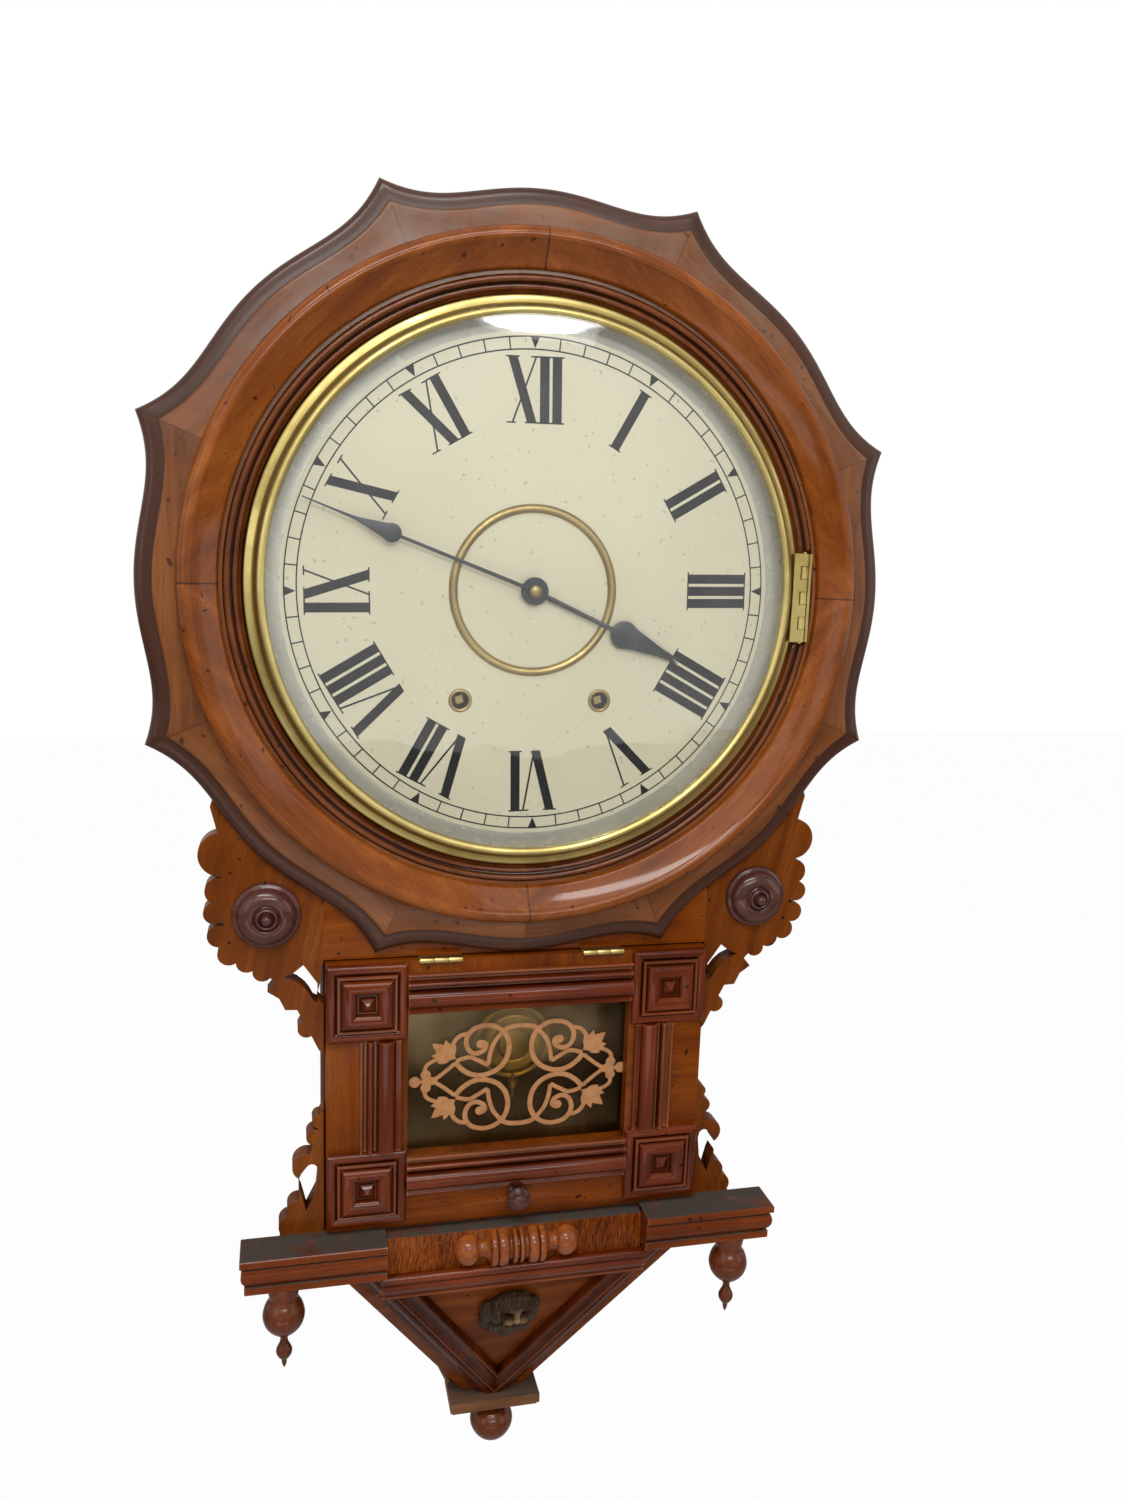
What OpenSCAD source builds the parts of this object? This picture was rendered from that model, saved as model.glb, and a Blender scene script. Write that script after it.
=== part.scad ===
// Drop dial wall clock, eight day, time and strike, about 1880.
// X runs to the right, Z up, and the wall is the plane Y = 0, so the front faces -Y.
// The origin is the middle of the hanging hole, on the wall.

/* [Head] */
// Height of the hanging hole above the middle of the dial
hang_rise = 165; // [155:1:168]
// Width of the round moulding
ring_w = 21.5; // [19:0.5:24]
// Height of the round moulding above the surround
ring_rise = 13; // [10:0.5:15]
// Width of the surround beyond the round moulding, where its sides bulge
brace_mid = 21.3; // [18:0.1:25]
// Width of the surround beyond the round moulding, at its pointed corners
brace_tip = 35.5; // [32:0.5:40]
// Thickness of the surround
surround_t = 9; // [8:0.5:10]
// Thickness of the backboard
back_t = 9; // [7:0.5:10]
// Thickness of the case boards
board_t = 9; // [7:0.5:10]

/* [Dial] */
// Radius of the flat of the dial
dial_flat_r = 139.5; // [135:0.5:144]
// Width of the dial's sloping rim
dial_rim = 12.5; // [11:0.5:14]
// Gap between the minute hand's tip and the edge of the dial's flat
minute_gap = 4; // [2:0.5:12]
// Length of the hour hand
hour_len = 91; // [85:1:96]

/* [Trunk] */
// Width of the trunk
trunk_w = 232; // [226:1:240]
// Gap between the surround's lowest corners and the door
door_gap = 2; // [1.5:0.1:6]
// Height of the door
door_tall = 167.6; // [160:0.2:175]
// Thickness of the door's frame
door_t = 14; // [12:0.5:15]
// Side of the square corner blocks
block_w = 47; // [44:0.5:50]
// Height of the corner blocks above the door's frame
block_rise = 9; // [8:0.5:9.5]
// Width of the reeded strips
reed_w = 24; // [22:0.5:25]
// Height of the shelf
shelf_tall = 22.8; // [19:0.1:24]
// Radius of the door's knob
knob_r = 7.2; // [5.5:0.1:8]
// Length of a shelf beyond the trunk's side
shelf_over = 48.4; // [45:0.2:54]
// Depth of the shelf in front of the trunk
shelf_deep = 24; // [21:0.5:27]

/* [Foot] */
// Height of the sloping panel
panel_tall = 125; // [115:1:135]
// Half width of the block under the sloping panel
plinth_half = 30.9; // [29:0.1:33]
// Radius of the balls of the corner finials
finial_r = 12.4; // [11:0.1:13]
// Radius of the bottom drop's ball
drop_r = 14.8; // [13.5:0.1:15]

/* [Movement] */
// Distance between the outsides of the movement's plates
plate_gap = 33; // [31:0.5:36]
// Distance of the pendulum's bending point above the middle of the dial
pendulum_top = 45.6; // [44:0.2:47]
// Length of the pendulum down to the middle of its bob
pendulum_len = 324.6; // [310:0.2:335]
// Radius of the bob
bob_r = 24.5; // [22:0.5:27]
// Radius of the pivots
pivot_r = 1.2; // [1:0.05:1.4]
// Radial running clearance of pivots and pins
run = 0.05; // [0.02:0.01:0.08]

/* [Hidden] */
$fn = 64;

// Shared places
dial_z = -hang_rise;
fit = 0.3;
walnut = "#9a5a2a";
dark_walnut = "#7c4423";
mahogany = "#6b2214";
oxblood = "#4a1714";
pine = "#b08a5c";
brass = "#c9a84c";
steel = "#5b5f66";
blued = "#23262e";

tip_turn = 22.5;
octagon_sides = 8;

// Movement's plates, then the front of the case and the dial, as heights above the wall
plate_t = 1.5;
plate_back = back_t + 5;
plate_front = plate_back + plate_gap;
front_plane = plate_front + 27;
front_top = front_plane + surround_t;
box_front = front_plane - board_t;
dial_h = front_plane + 6;

// Rings, from the dial outwards
seat_in_r = dial_flat_r + 0.5;
dial_r = dial_flat_r + dial_rim;
bezel_r = dial_r + 5.5;
sight_r = bezel_r - 11.5;
bead_in_r = bezel_r + 1.1;
open_r = bead_in_r + 9.4;
ring_in_r = open_r + 2;
ring_r = ring_in_r + ring_w;
surround_mid_r = ring_r + brace_mid;
surround_tip_r = ring_r + brace_tip;
head_apothem = ring_r - 3.5;

// Trunk and door, from the surround's lowest point downwards
half = trunk_w / 2;
// Just above the place where the octagon's lower sloping boards meet the trunk's sides
box_cut = half - (head_apothem - board_t) * sqrt(2) + 0.15;
surround_low = max([for (p = brace_outline(0)) p[1]]);
door_back = box_front + fit;
door_front = door_back + door_t;
door_half = half - 1;
door_top = -surround_low - door_gap;
door_foot = door_top - door_tall;
board_foot = door_top + 1.2;
block_low_gap = 4;
pane_half = door_half - block_w - 0.5;
rail_in_top = door_top - 7.5 - reed_w;
rail_in_low = door_foot + 21 + reed_w;
knob_z = door_foot + 14.8;
shelf_top = door_foot - 1.7;
shelf_foot = shelf_top - shelf_tall;
shelf_in = half - 36;
shelf_reach = half + shelf_over;
shelf_front = front_plane + shelf_deep;
foot_board_t = 10;
hang_hole_r = 4;
hanger_t = 2.5;
hanger_half = 20;

// Apron, moulding and foot
apron_front = front_plane + 11;
apron_top = shelf_top - 2.9;
ledge_front = front_plane + 15;
ledge_top = apron_top - 26;
ledge_tall = 13;
panel_half = half - 20.5;
panel_top_z = ledge_top - ledge_tall;
panel_top_h = front_plane + 4;
panel_t = 8;
panel_end_h = back_t + 9;
slope = (panel_top_h - panel_end_h) / panel_tall;
slope_a = atan(slope);
panel_len = panel_tall / cos(slope_a);
panel_taper = 0.54;
ledge_half = panel_half - 7;
horn_len = (shelf_foot - panel_top_z) / cos(slope_a) + 2;
plinth_top = panel_top_z - panel_tall;
plinth_front = panel_end_h + 13;
plinth_t = 8.8;

// Movement: places of the arbors, teeth and modules
centre = [0, 0];
great_n = 60;
great_m = 1.05;
second_pin_n = 10;
second_n = 42;
second_m = 1.35;
centre_pin_n = 14;
centre_n = 72;
centre_m = 0.7;
third_pin_n = 8;
third_n = 70;
third_m = 0.6;
escape_pin_n = 8;
escape_n = 40;
escape_r = 16.5;
cannon_n = 12;
minute_n = 36;
cannon_m = 0.5;
minute_pin_n = 10;
hour_n = 40;
hour_m = 0.48;
strike_second_n = 40;
strike_m = 0.8;
fly_n = 8;
second_at = beside(centre, -63.35, second_n + centre_pin_n, second_m);
great_at = beside(second_at, -50.14, great_n + second_pin_n, great_m);
third_at = beside(centre, 184.83, centre_n + third_pin_n, centre_m);
escape_at = beside(third_at, 72.85, third_n + escape_pin_n, third_m);
verge_reach = 23.26;
verge_at = [0, escape_at[1] + sqrt(verge_reach * verge_reach - escape_at[0] * escape_at[0])];
motion_turn = 215;
motion_at = beside(centre, motion_turn, cannon_n + minute_n, cannon_m);
strike_at = [-great_at[0], great_at[1]];
strike_second_at = beside(strike_at, 100, great_n + second_pin_n, great_m);
fly_at = beside(strike_second_at, 150, strike_second_n + fly_n, strike_m);
wind_x = great_at[0];
wind_z = -great_at[1];
hammer_at = [0, great_at[1] - 32];
centre_r = 1.6;
cannon_r = 2.3;
pipe_r = 3.5;
pendulum_h = plate_front + 11;
crutch_h = pendulum_h - 2.4;
fork_z = -16;
gong_at = [32, -212];
gong_r = 38;
minute_turn = 290.2;
hour_turn = 114;

// Place of an arbor in direction dir from another, for the sum n of their meshing teeth
function beside(from, dir, n, m) = from + n * m / 2 * [cos(dir), sin(dir)];
function heading(a, b) = atan2(b[1] - a[1], b[0] - a[0]);
// Turn of a wheel with nb teeth so that it meshes with one of na teeth, turned by ta, at angle dir from it
function mesh_turn(ta, na, dir, nb) = dir + 180 - 360 / nb * ((ta - dir) * na / 360 + 0.5);
function arc(c, r, a0, a1, n = 10) = [for (i = [0:n])
  let(a = a0 + (a1 - a0) * i / n) c + r * [cos(a), sin(a)]];
// Outline of one brace-shaped side of the surround, u from -1 to 1 between its corners
function brace_r(u) = let(rise = surround_tip_r - surround_mid_r, dip = 12)
  surround_mid_r - dip * u * u + (rise + dip) * pow(u, 4);
function brace_outline(inset, steps = 24) = [for (s = [0:octagon_sides - 1], i = [0:steps - 1])
  let(u = 2 * i / steps - 1, a = 90 - (s * 45 + u * tip_turn), r = brace_r(u) - inset) r * [cos(a), sin(a)]];

// Case coordinates: x to the right and y up from the middle of the dial, z the height above the wall
module on_case() {
  translate([0, 0, dial_z]) rotate([90, 0, 0]) children();
}
module slab(h0, h1) {
  translate([0, 0, h0]) linear_extrude(h1 - h0) children();
}
module block(x0, x1, y0, y1, h0, h1) {
  translate([x0, y0, h0]) cube([x1 - x0, y1 - y0, h1 - h0]);
}
module rod(at, r, h0, h1) {
  translate([at[0], at[1], h0]) cylinder(r = r, h = h1 - h0);
}
// Flat bar from a to b, of half width w
module bar(a, b, w) {
  across = w / norm(b - a) * [a[1] - b[1], b[0] - a[0]];
  polygon([a - across, a + across, b + across, b - across]);
}
module octagon(apothem) {
  rotate(tip_turn) circle(r = apothem / cos(tip_turn), $fn = octagon_sides);
}
module mirrored() {
  children();
  mirror([1, 0, 0]) children();
}

// Case
module backboard() {
  color(pine) on_case() difference() {
    slab(0, back_t) union() {
      octagon(head_apothem);
      polygon([[-half, box_cut], [-half, shelf_foot], [-panel_half, shelf_foot], [-plinth_half, plinth_top],
        [plinth_half, plinth_top], [panel_half, shelf_foot], [half, shelf_foot], [half, box_cut]]);
    }
    block(-hanger_half, hanger_half, hang_rise - 10, hang_rise + 12, -1, hanger_t);
    rod([0, hang_rise], hang_hole_r * 2.2, -1, back_t + 1);
  }
}
module hanger_plate() {
  color(steel) on_case() difference() {
    block(-hanger_half, hanger_half, hang_rise - 10, hang_rise + 12, 0, hanger_t);
    rod([0, hang_rise], hang_hole_r, -1, hanger_t + 1);
  }
}
module head_box() {
  color(dark_walnut) on_case() difference() {
    slab(back_t, front_plane) difference() {
      octagon(head_apothem);
      octagon(head_apothem - board_t);
    }
    block(-half, half, -2 * head_apothem, box_cut, 0, front_plane + 1);
  }
}
module trunk_sides() {
  color(dark_walnut) on_case() mirrored() slab(back_t, box_front)
    polygon([[half - board_t, shelf_foot + foot_board_t], [half, shelf_foot + foot_board_t], [half, box_cut],
      [half - board_t, box_cut]]);
}
// Bottom board, with the sill that the door shuts above
module trunk_bottom() {
  color(dark_walnut) on_case() {
    block(-half, half, shelf_foot, shelf_foot + foot_board_t, back_t, front_plane);
    block(-half, half, shelf_foot + foot_board_t - 1, shelf_top, box_front, front_plane);
  }
}
module front_board() {
  color(walnut) on_case() difference() {
    block(-half, half, board_foot, box_cut, box_front, front_plane);
    rod([0, 0], open_r, box_front - 1, front_plane + 1);
  }
}
// Eight mitred boards with an ogee edge, cut here as four steps
module surround() {
  steps = [[0, 3.2, 0], [3.2, 5.6, 2.6], [5.6, 7.6, 5.6], [7.6, surround_t, 8.4]];
  color(walnut) on_case() difference() {
    for (s = steps) slab(front_plane + s[0], front_plane + s[1]) polygon(brace_outline(s[2]));
    rod([0, 0], open_r, front_plane - 1, front_top + 1);
  }
}
// Round moulding: a slope up to a ridge, then a quarter round outside
module round_moulding() {
  ridge = ring_r - 7.5;
  top = front_top + ring_rise;
  color(walnut) on_case() rotate_extrude($fn = 128) polygon(concat(
    [[ring_in_r, front_top], [ring_in_r, front_top + 3], [ring_in_r + 2, front_top + 4.5]],
    [[ring_in_r + 8, top - 3], [ridge - 3, top - 0.6]],
    [for (a = [90:-10:0]) [ridge + (ring_r - ridge) * cos(a), front_top + 2.5 + (ring_rise - 2.5) * sin(a)]],
    [[ring_r, front_top]]));
}
// Beads between the round moulding and the bezel
module bead_moulding() {
  bead = 1.7;
  top = front_top + 1;
  color(mahogany) on_case() difference() {
    rotate_extrude($fn = 128) polygon(concat(
      [[bead_in_r, front_plane], [bead_in_r, top - 4], [bead_in_r + 1.4, top - 4]],
      arc([bead_in_r + 3.1, top - 3], bead, 180, 0),
      [[bead_in_r + 5.4, top - 3]],
      arc([bead_in_r + 7.1, top - 1], bead, 180, 0),
      [[open_r, top - 2], [open_r, front_plane]]));
    hinge_rod(knuckle_r + fit, 1.2);
    block(hinge_x, hinge_x + leaf_w, -hinge_half, hinge_half, leaf_h, 100);
  }
}
module dial_seat() {
  out_r = head_apothem - board_t;
  color(pine) on_case() difference() {
    rotate_extrude($fn = 128) polygon([[seat_in_r, box_front - 4], [out_r, box_front - 4], [out_r, box_front],
      [bead_in_r - 1, box_front], [bead_in_r - 1, dial_h - 3], [seat_in_r, dial_h - 3]]);
    mirrored() block(half - board_t, out_r, -out_r, box_cut, 0, front_plane);
  }
}

// Fretted ear beside the trunk, cut from one board. Its outline is drawn from the trunk's side, level with
// the door's top
ear_back = front_plane - 12;
module ear_outline() {
  difference() {
    union() {
      polygon([[0, 96.8], [34, 102.8], [58, 100.8], [61, 92.8], [57.5, 78.8], [54, 64.8], [56, 49.8],
        [55, 24.8], [50, 10.8], [36, -1.2], [26, -12.2], [15, -28.2], [9, -40.2], [3, -53.2],
        [0, -57.2], [0, -25.2], [4, -21.2], [1.5, -10.2]]);
      polygon([[0, 34.8], [34, 24.8], [24, -1.2], [11, 0.8], [0, -1.2]]);
      polygon([[24, -7.2], [31.5, -16.2], [25, -20.7], [21.6, -27.8], [14, -28.2]]);
      for (lobe = [[55.5, 65.3, 12.6], [57, 44.3, 7.8], [59.6, 31.6, 6.2], [57.6, 18.2, 6.4],
        [52.2, 7.2, 6.4], [42.6, 2, 6], [34, -4.2, 5.6], [9.6, -40.2, 5.2]])
        translate([lobe[0], lobe[1]]) circle(r = lobe[2]);
    }
    polygon([[11.3, -1.2], [17, -5.7], [22.4, -7.8], [15, -11.2], [10.5, -15.2], [8, -18.7],
      [6, -22.7], [3.6, -24.2], [3, -13.2]]);
  }
}
module ears() {
  color(dark_walnut) on_case() mirrored() slab(ear_back, front_plane) difference() {
    translate([half, door_top]) ear_outline();
    octagon(head_apothem);
  }
}
// Turned bosses on the ears
boss_at = [half + 31.3, door_top + 29.8];
module ear_bosses() {
  boss_r = 19;
  color(oxblood) on_case() mirrored() translate([boss_at[0], boss_at[1], front_plane]) rotate_extrude()
    polygon(concat([[0, 0], [boss_r, 0], [boss_r, 1.5]], arc([boss_r - 1.6, 2.6], 1.6, 0, 90, 4),
      [[boss_r - 3.4, 3.6]], [for (a = [10:12:82]) [7 + 8.4 * cos(a), 4 + 5.2 * sin(a)]],
      [[6.8, 9.4], [5.6, 10.6], [4.4, 10.2], [4.2, 9.4], [3.2, 9.8]],
      arc([0.4, 11.4], 2.6, 0, 78, 6), [[0, 14]]));
}
// Scrolled bracket behind the shelf. Its outline starts at the trunk's side, level with the shelf's top
module bracket_outline() {
  intersection() {
    difference() {
      union() {
        polygon([[0, 80.1], [2.4, 75.1], [3, 70.1], [4.4, 62.1], [7.6, 51.1], [11, 46.1], [13.8, 38.1],
          [14.8, 28.1], [14.8, 20.1], [17.4, 12.1], [20.4, 2.1], [26, 0.1], [26, -17.9], [0, -17.9]]);
        for (lobe = [[2.6, 70.5, 4.2], [5.2, 60.7, 5], [10, 42.1, 8.4], [15.2, 15.1, 6.4], [19.6, 4.6, 7]])
          translate([lobe[0], lobe[1]]) circle(r = lobe[2]);
      }
      polygon(concat([[3.4, 38.6]], arc([7.2, 40.5], 3.4, 150, 30, 4), arc([2.2, 32.2], 12.6, 28, -28, 6),
        [[10.4, 14.6], [4.7, 26.1]]));
    }
    translate([0, -shelf_tall]) square([50, 150]);
  }
}
module brackets() {
  color(dark_walnut) on_case() mirrored() slab(ear_back, front_plane) translate([half, shelf_top])
    bracket_outline();
}
// Shelves with a moulded front and outer end: a flat band, a swell below it and a fillet at the foot
module shelves() {
  steps = [[0, 4.6, 0], [4.6, 6.4, 2.8], [6.4, 8.4, 1.4], [8.4, 12.8, 0.6], [12.8, 15.4, 1.8],
    [15.4, 18, 3.6], [18, shelf_tall, 2.4]];
  color(mahogany) on_case() mirrored() for (s = steps)
    block(shelf_in, shelf_reach - s[2], shelf_top - s[1], shelf_top - s[0],
      front_plane, shelf_front - s[2]);
}
module apron() {
  color(walnut) on_case() block(-shelf_in, shelf_in, ledge_top, apron_top, front_plane, apron_front);
}
// Half of a turned baluster, laid along the apron
module split_turning() {
  half_len = 39.5;
  acorn_r = 9.2;
  ringed = [[4.6, -21], [5.4, -18.5], [10.2, -16.8], [11.4, -15.6], [11.4, -10.6], [10.2, -9.8], [11, -9],
    [11, -6.4], [8.8, -5.8], [10.2, -4.8], [10.2, -3], [8.8, -2.4], [10.2, -1.4], [10.2, 0]];
  color("#b0622e") on_case() translate([0, apron_top - 12, apron_front]) intersection() {
    rotate([0, 90, 0]) rotate_extrude() polygon(concat(
      [[0, -half_len]],
      [for (a = [-80:16:64]) [acorn_r * cos(a), -half_len + 9 + 9 * sin(a)]],
      ringed, [for (i = [len(ringed) - 2:-1:0]) [ringed[i][0], -ringed[i][1]]],
      [for (a = [-64:16:80]) [acorn_r * cos(a), half_len - 9 + 9 * sin(a)]],
      [[0, half_len]]));
    translate([-half_len - 1, -15, 0]) cube([2 * half_len + 2, 30, 15]);
  }
}
// Moulding under the apron, a board that draws in downwards over the sloping panel
module ledge() {
  steps = [[0, 4, 0], [4, 6, 1.5], [6, 10, 3], [10, ledge_tall, 4.5]];
  color(mahogany) on_case() for (s = steps)
    block(-ledge_half, ledge_half, ledge_top - s[1], ledge_top - s[0], front_plane, ledge_front - s[2]);
}

// Foot: a panel that slopes back to the wall between two cheeks
module on_slope() {
  translate([0, panel_top_z, panel_top_h]) rotate([slope_a, 0, 0]) children();
}
// Room for the moulding over the foot, for the shelves above it and for the block under it
module foot_limits() {
  block(-ledge_half, ledge_half, panel_top_z, shelf_top, 0, 2 * front_top);
  block(-2 * half, 2 * half, shelf_foot, shelf_top, 0, 2 * front_top);
  block(-2 * half, 2 * half, plinth_top - 2 * shelf_tall, plinth_top, -front_top, 2 * front_top);
}
module foot_panel() {
  top_half = panel_half + panel_taper * horn_len;
  low_half = panel_half - panel_taper * panel_len;
  color(walnut) on_case() difference() {
    on_slope() slab(-panel_t, 0) polygon([[-top_half, horn_len], [top_half, horn_len],
      [low_half, -panel_len], [-low_half, -panel_len]]);
    foot_limits();
  }
}
// Cheeks close the foot from the panel's back to the backboard
module foot_cheeks() {
  color(dark_walnut) on_case() mirrored() difference() {
    slab(back_t, panel_top_h) polygon([[panel_half - 3, shelf_foot], [panel_half - 3 - board_t, shelf_foot],
      [plinth_half - 3 - board_t, plinth_top], [plinth_half - 3, plinth_top]]);
    on_slope() block(0, half, -2 * panel_len, panel_len, -panel_t, front_top);
    block(0, half, panel_top_z - 1, shelf_top, front_plane, front_top);
  }
}
// The two raking mouldings, mitred at the bottom
module foot_mouldings() {
  taper = 0.553;
  outer = panel_half - 15.5 + horn_len * taper;
  steps = [[0, 3, 24.8, 0], [3, 5, 22.8, 2.8], [5, 7, 16.8, 7.8]];
  color(mahogany) on_case() mirrored() difference() {
    on_slope() for (s = steps) slab(s[0], s[1])
      polygon([[outer - s[2], horn_len], [outer - s[3], horn_len],
      [-0.1, horn_len - (outer - s[3]) / taper], [-0.1, horn_len - (outer - s[2]) / taper]]);
    foot_limits();
    block(-2 * half, 0, plinth_top - 2 * shelf_tall, shelf_top, -front_top, 2 * front_top);
  }
}
// Bronze animal mask: mane, face, muzzle and ears, on the sloping panel
module mask() {
  color("#5d4630") on_case() on_slope() translate([0, -33, 0]) {
    slab(0, 3) scale([19.5, 22]) circle(r = 1);
    intersection() {
      translate([0, 0, 2]) union() {
        scale([1, 1, 0.9]) sphere(r = 14);
        translate([0, -7, 7]) sphere(r = 7.5);
        translate([0, 2, 11]) sphere(r = 3.4);
        for (side = [-1, 1]) translate([side * 11, 9, 2]) sphere(r = 5.5);
        translate([0, -15, 2]) sphere(r = 6);
      }
      translate([-30, -30, 2.5]) cube([60, 60, 30]);
    }
  }
}
module plinth() {
  color(dark_walnut) on_case() {
    block(-plinth_half, plinth_half, plinth_top - plinth_t + 2, plinth_top, 0, plinth_front);
    block(-plinth_half + 1.5, plinth_half - 1.5, plinth_top - plinth_t, plinth_top - plinth_t + 2,
      0, plinth_front - 1.5);
  }
}
module bottom_drop() {
  axis_h = drop_r + 0.8;
  color(oxblood) translate([0, -axis_h, dial_z + plinth_top - plinth_t]) rotate_extrude() polygon(concat(
    [[0, 0], [9, 0], [9, -2.6], [6.8, -3.4], [6.4, -5.4], [9.4, -7]],
    [for (a = [38:-12:-82]) [drop_r * cos(a), -17 + drop_r * 0.94 * sin(a)]], [[0, -17 - drop_r * 0.94]]));
}
// Turned finials under the shelves
finial_at = [shelf_reach - 24.5, front_plane + shelf_deep / 2];
module finials() {
  top = dial_z + shelf_foot;
  color(mahogany) mirrored() translate([finial_at[0], -finial_at[1], top]) rotate_extrude() polygon(concat(
    [[0, 0], [9.4, 0], [9.2, -5], [8.4, -8.6], [8.8, -10.4]],
    [for (a = [44:-12:-64]) [finial_r * cos(a), -20.6 + finial_r * 0.94 * sin(a)]],
    [[2.8, -33.8], [2.2, -36.4], [2.8, -39.4]], arc([0, -44.4], 4.8, 40, -50, 6),
    [[1.6, -51], [0.8, -54.6], [0, -56]]));
}

// Dial
module dial_plate() {
  t = 0.8;
  color("#efe6cf") on_case() difference() {
    rotate_extrude($fn = 128) polygon([[0, dial_h - t], [dial_flat_r, dial_h - t], [dial_r - 5, dial_h - 3],
      [dial_r, dial_h - 3], [dial_r, dial_h - 3 + t], [dial_r - 4.6, dial_h - 3 + t],
      [dial_flat_r, dial_h], [0, dial_h]]);
    rod(centre, 6, 0, 100);
    for (side = [-1, 1]) rod([side * wind_x, -wind_z], 5.4, 0, 100);
  }
}
// Brass ring round the middle of the dial, and a grommet in each winding hole
module dial_trim() {
  color(brass) on_case() {
    rotate_extrude($fn = 96)
      polygon(concat([[43, dial_h]], arc([45.5, dial_h], 2.5, 160, 20, 8), [[48, dial_h]]));
    for (side = [-1, 1]) translate([side * wind_x, -wind_z, dial_h]) rotate_extrude()
      polygon([[4.6, -2], [5.3, -2], [5.3, 0], [6.6, 0], [6.4, 0.8], [4.6, 0.5]]);
  }
}

// Bezel, its glass and its hinge at three o'clock
hinge_x = bezel_r + 3.5;
hinge_h = dial_h + 4.5;
hinge_half = 25.8;
knuckle_r = 3;
pin_r = 1.2;
bezel_back = dial_h - 1.7;
glass_seat = 10.3;
glass_h = bezel_back + glass_seat;
minute_len = dial_flat_r - minute_gap;
leaf_w = sqrt(open_r * open_r - hinge_half * hinge_half) - hinge_x - 0.2;
leaf_h = front_top - 0.6;
// Rod along the hinge's axis, longer than the hinge by over at both ends
module hinge_rod(r, over) {
  translate([hinge_x, -hinge_half - over, hinge_h]) rotate([-90, 0, 0])
    cylinder(r = r, h = 2 * (hinge_half + over));
}
module bezel_ring() {
  lip = sight_r - bezel_r;
  rotate_extrude($fn = 128) translate([bezel_r, bezel_back])
    polygon([[-3.8, 0], [0, 0], [0, 2], [-1.4, 2.8], [-2.6, 6], [-4, 10], [-6, 12.8], [-8.4, 13.8],
      [lip + 1, 13], [lip, 12], [lip, glass_seat + 2], [-7, glass_seat + 2], [-7, glass_seat - 0.2],
      [-5, glass_seat - 2.4]]);
}
module bezel() {
  color(brass) on_case() bezel_ring();
}
module bezel_glass() {
  color("#cfe0e0", 0.3) on_case() rod(centre, bezel_r - 7, glass_h, glass_h + 2);
}
// Knuckles along the pin: the first, third and so on belong to the bezel, the others to the case
knuckle_n = 7;
knuckle_len = 2 * hinge_half / knuckle_n;
end_gap = 0.15;
module knuckles(first) {
  for (i = [first:2:knuckle_n - 1]) translate([hinge_x, -hinge_half + i * knuckle_len + end_gap, hinge_h])
    rotate([-90, 0, 0]) cylinder(r = knuckle_r, h = knuckle_len - 2 * end_gap);
}
module knuckle_gaps(first) {
  reach = knuckle_r + fit;
  for (i = [first:2:knuckle_n - 1]) let(low = -hinge_half + i * knuckle_len)
    block(hinge_x - reach, hinge_x + reach, low - end_gap, low + knuckle_len + end_gap, 0, 2 * dial_h);
}
module bezel_leaf() {
  color(brass) on_case() difference() {
    union() {
      knuckles(0);
      difference() {
        block(hinge_x - 7.4, hinge_x, -hinge_half, hinge_half, hinge_h + 1.4, hinge_h + knuckle_r);
        knuckle_gaps(1);
      }
    }
    bezel_ring();
    hinge_rod(pin_r + run, 2);
  }
}
// The fixed leaf carries the pin
module case_leaf() {
  color(brass) on_case() {
    knuckles(1);
    difference() {
      block(hinge_x, hinge_x + leaf_w, -hinge_half, hinge_half, leaf_h, hinge_h + 0.4);
      knuckle_gaps(0);
    }
    hinge_rod(pin_r, 1);
  }
}

// Hands: a hub, a thin arm and a drop whose point runs out along the rest of the hand
hour_h = dial_h + 3;
minute_h = dial_h + 5.8;
hand_t = 0.9;
module hand_outline(length, hub, drop_at, drop, arm) {
  side = concat([[arm * 1.3, 0], [arm, drop_at - drop]],
    [for (a = [-72:18:36]) [drop * cos(a), drop_at + drop * sin(a)]],
    [for (p = [[0.6, 1.7], [0.34, 3], [0.16, 4.6]]) [0, drop_at] + drop * p], [[0.4, length]]);
  circle(r = hub);
  polygon(concat(side, [for (i = [len(side) - 1:-1:0]) [-side[i][0], side[i][1]]]));
}
module minute_hand() {
  color(blued) on_case() difference() {
    rotate(-minute_turn) slab(minute_h, minute_h + hand_t) hand_outline(minute_len, 4.4, 85, 5.2, 0.9);
    rod(centre, cannon_r, 0, 100);
  }
}
module hour_hand() {
  color(blued) on_case() difference() {
    rotate(-hour_turn) slab(hour_h, hour_h + hand_t) hand_outline(hour_len, 7.8, 58, 8, 1.2);
    rod(centre, pipe_r, 0, 100);
  }
}
module hand_nut() {
  color(brass) on_case() translate([0, 0, minute_h + hand_t]) rotate_extrude()
    polygon([[0, 0], [3.2, 0], [3.4, 0.5], [2.4, 1.1], [0, 1.3]]);
}

// Door: a walnut frame that carries mahogany strips and corner blocks
module door_frame() {
  color(walnut) on_case() difference() {
    block(-door_half, door_half, door_foot, door_top, door_back, door_front);
    block(-pane_half, pane_half, rail_in_low, rail_in_top, door_back - 1, door_front + 1);
    block(-pane_half - 4, pane_half + 4, rail_in_low - 4, rail_in_top + 4, door_back - 1, door_back + 6);
    rod([0, knob_z], 2.1, door_back - 1, door_front + 1);
  }
}
block_at_x = door_half - block_w / 2;
block_top_y = door_top - block_w / 2;
block_low_y = door_foot + block_low_gap + block_w / 2;
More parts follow.
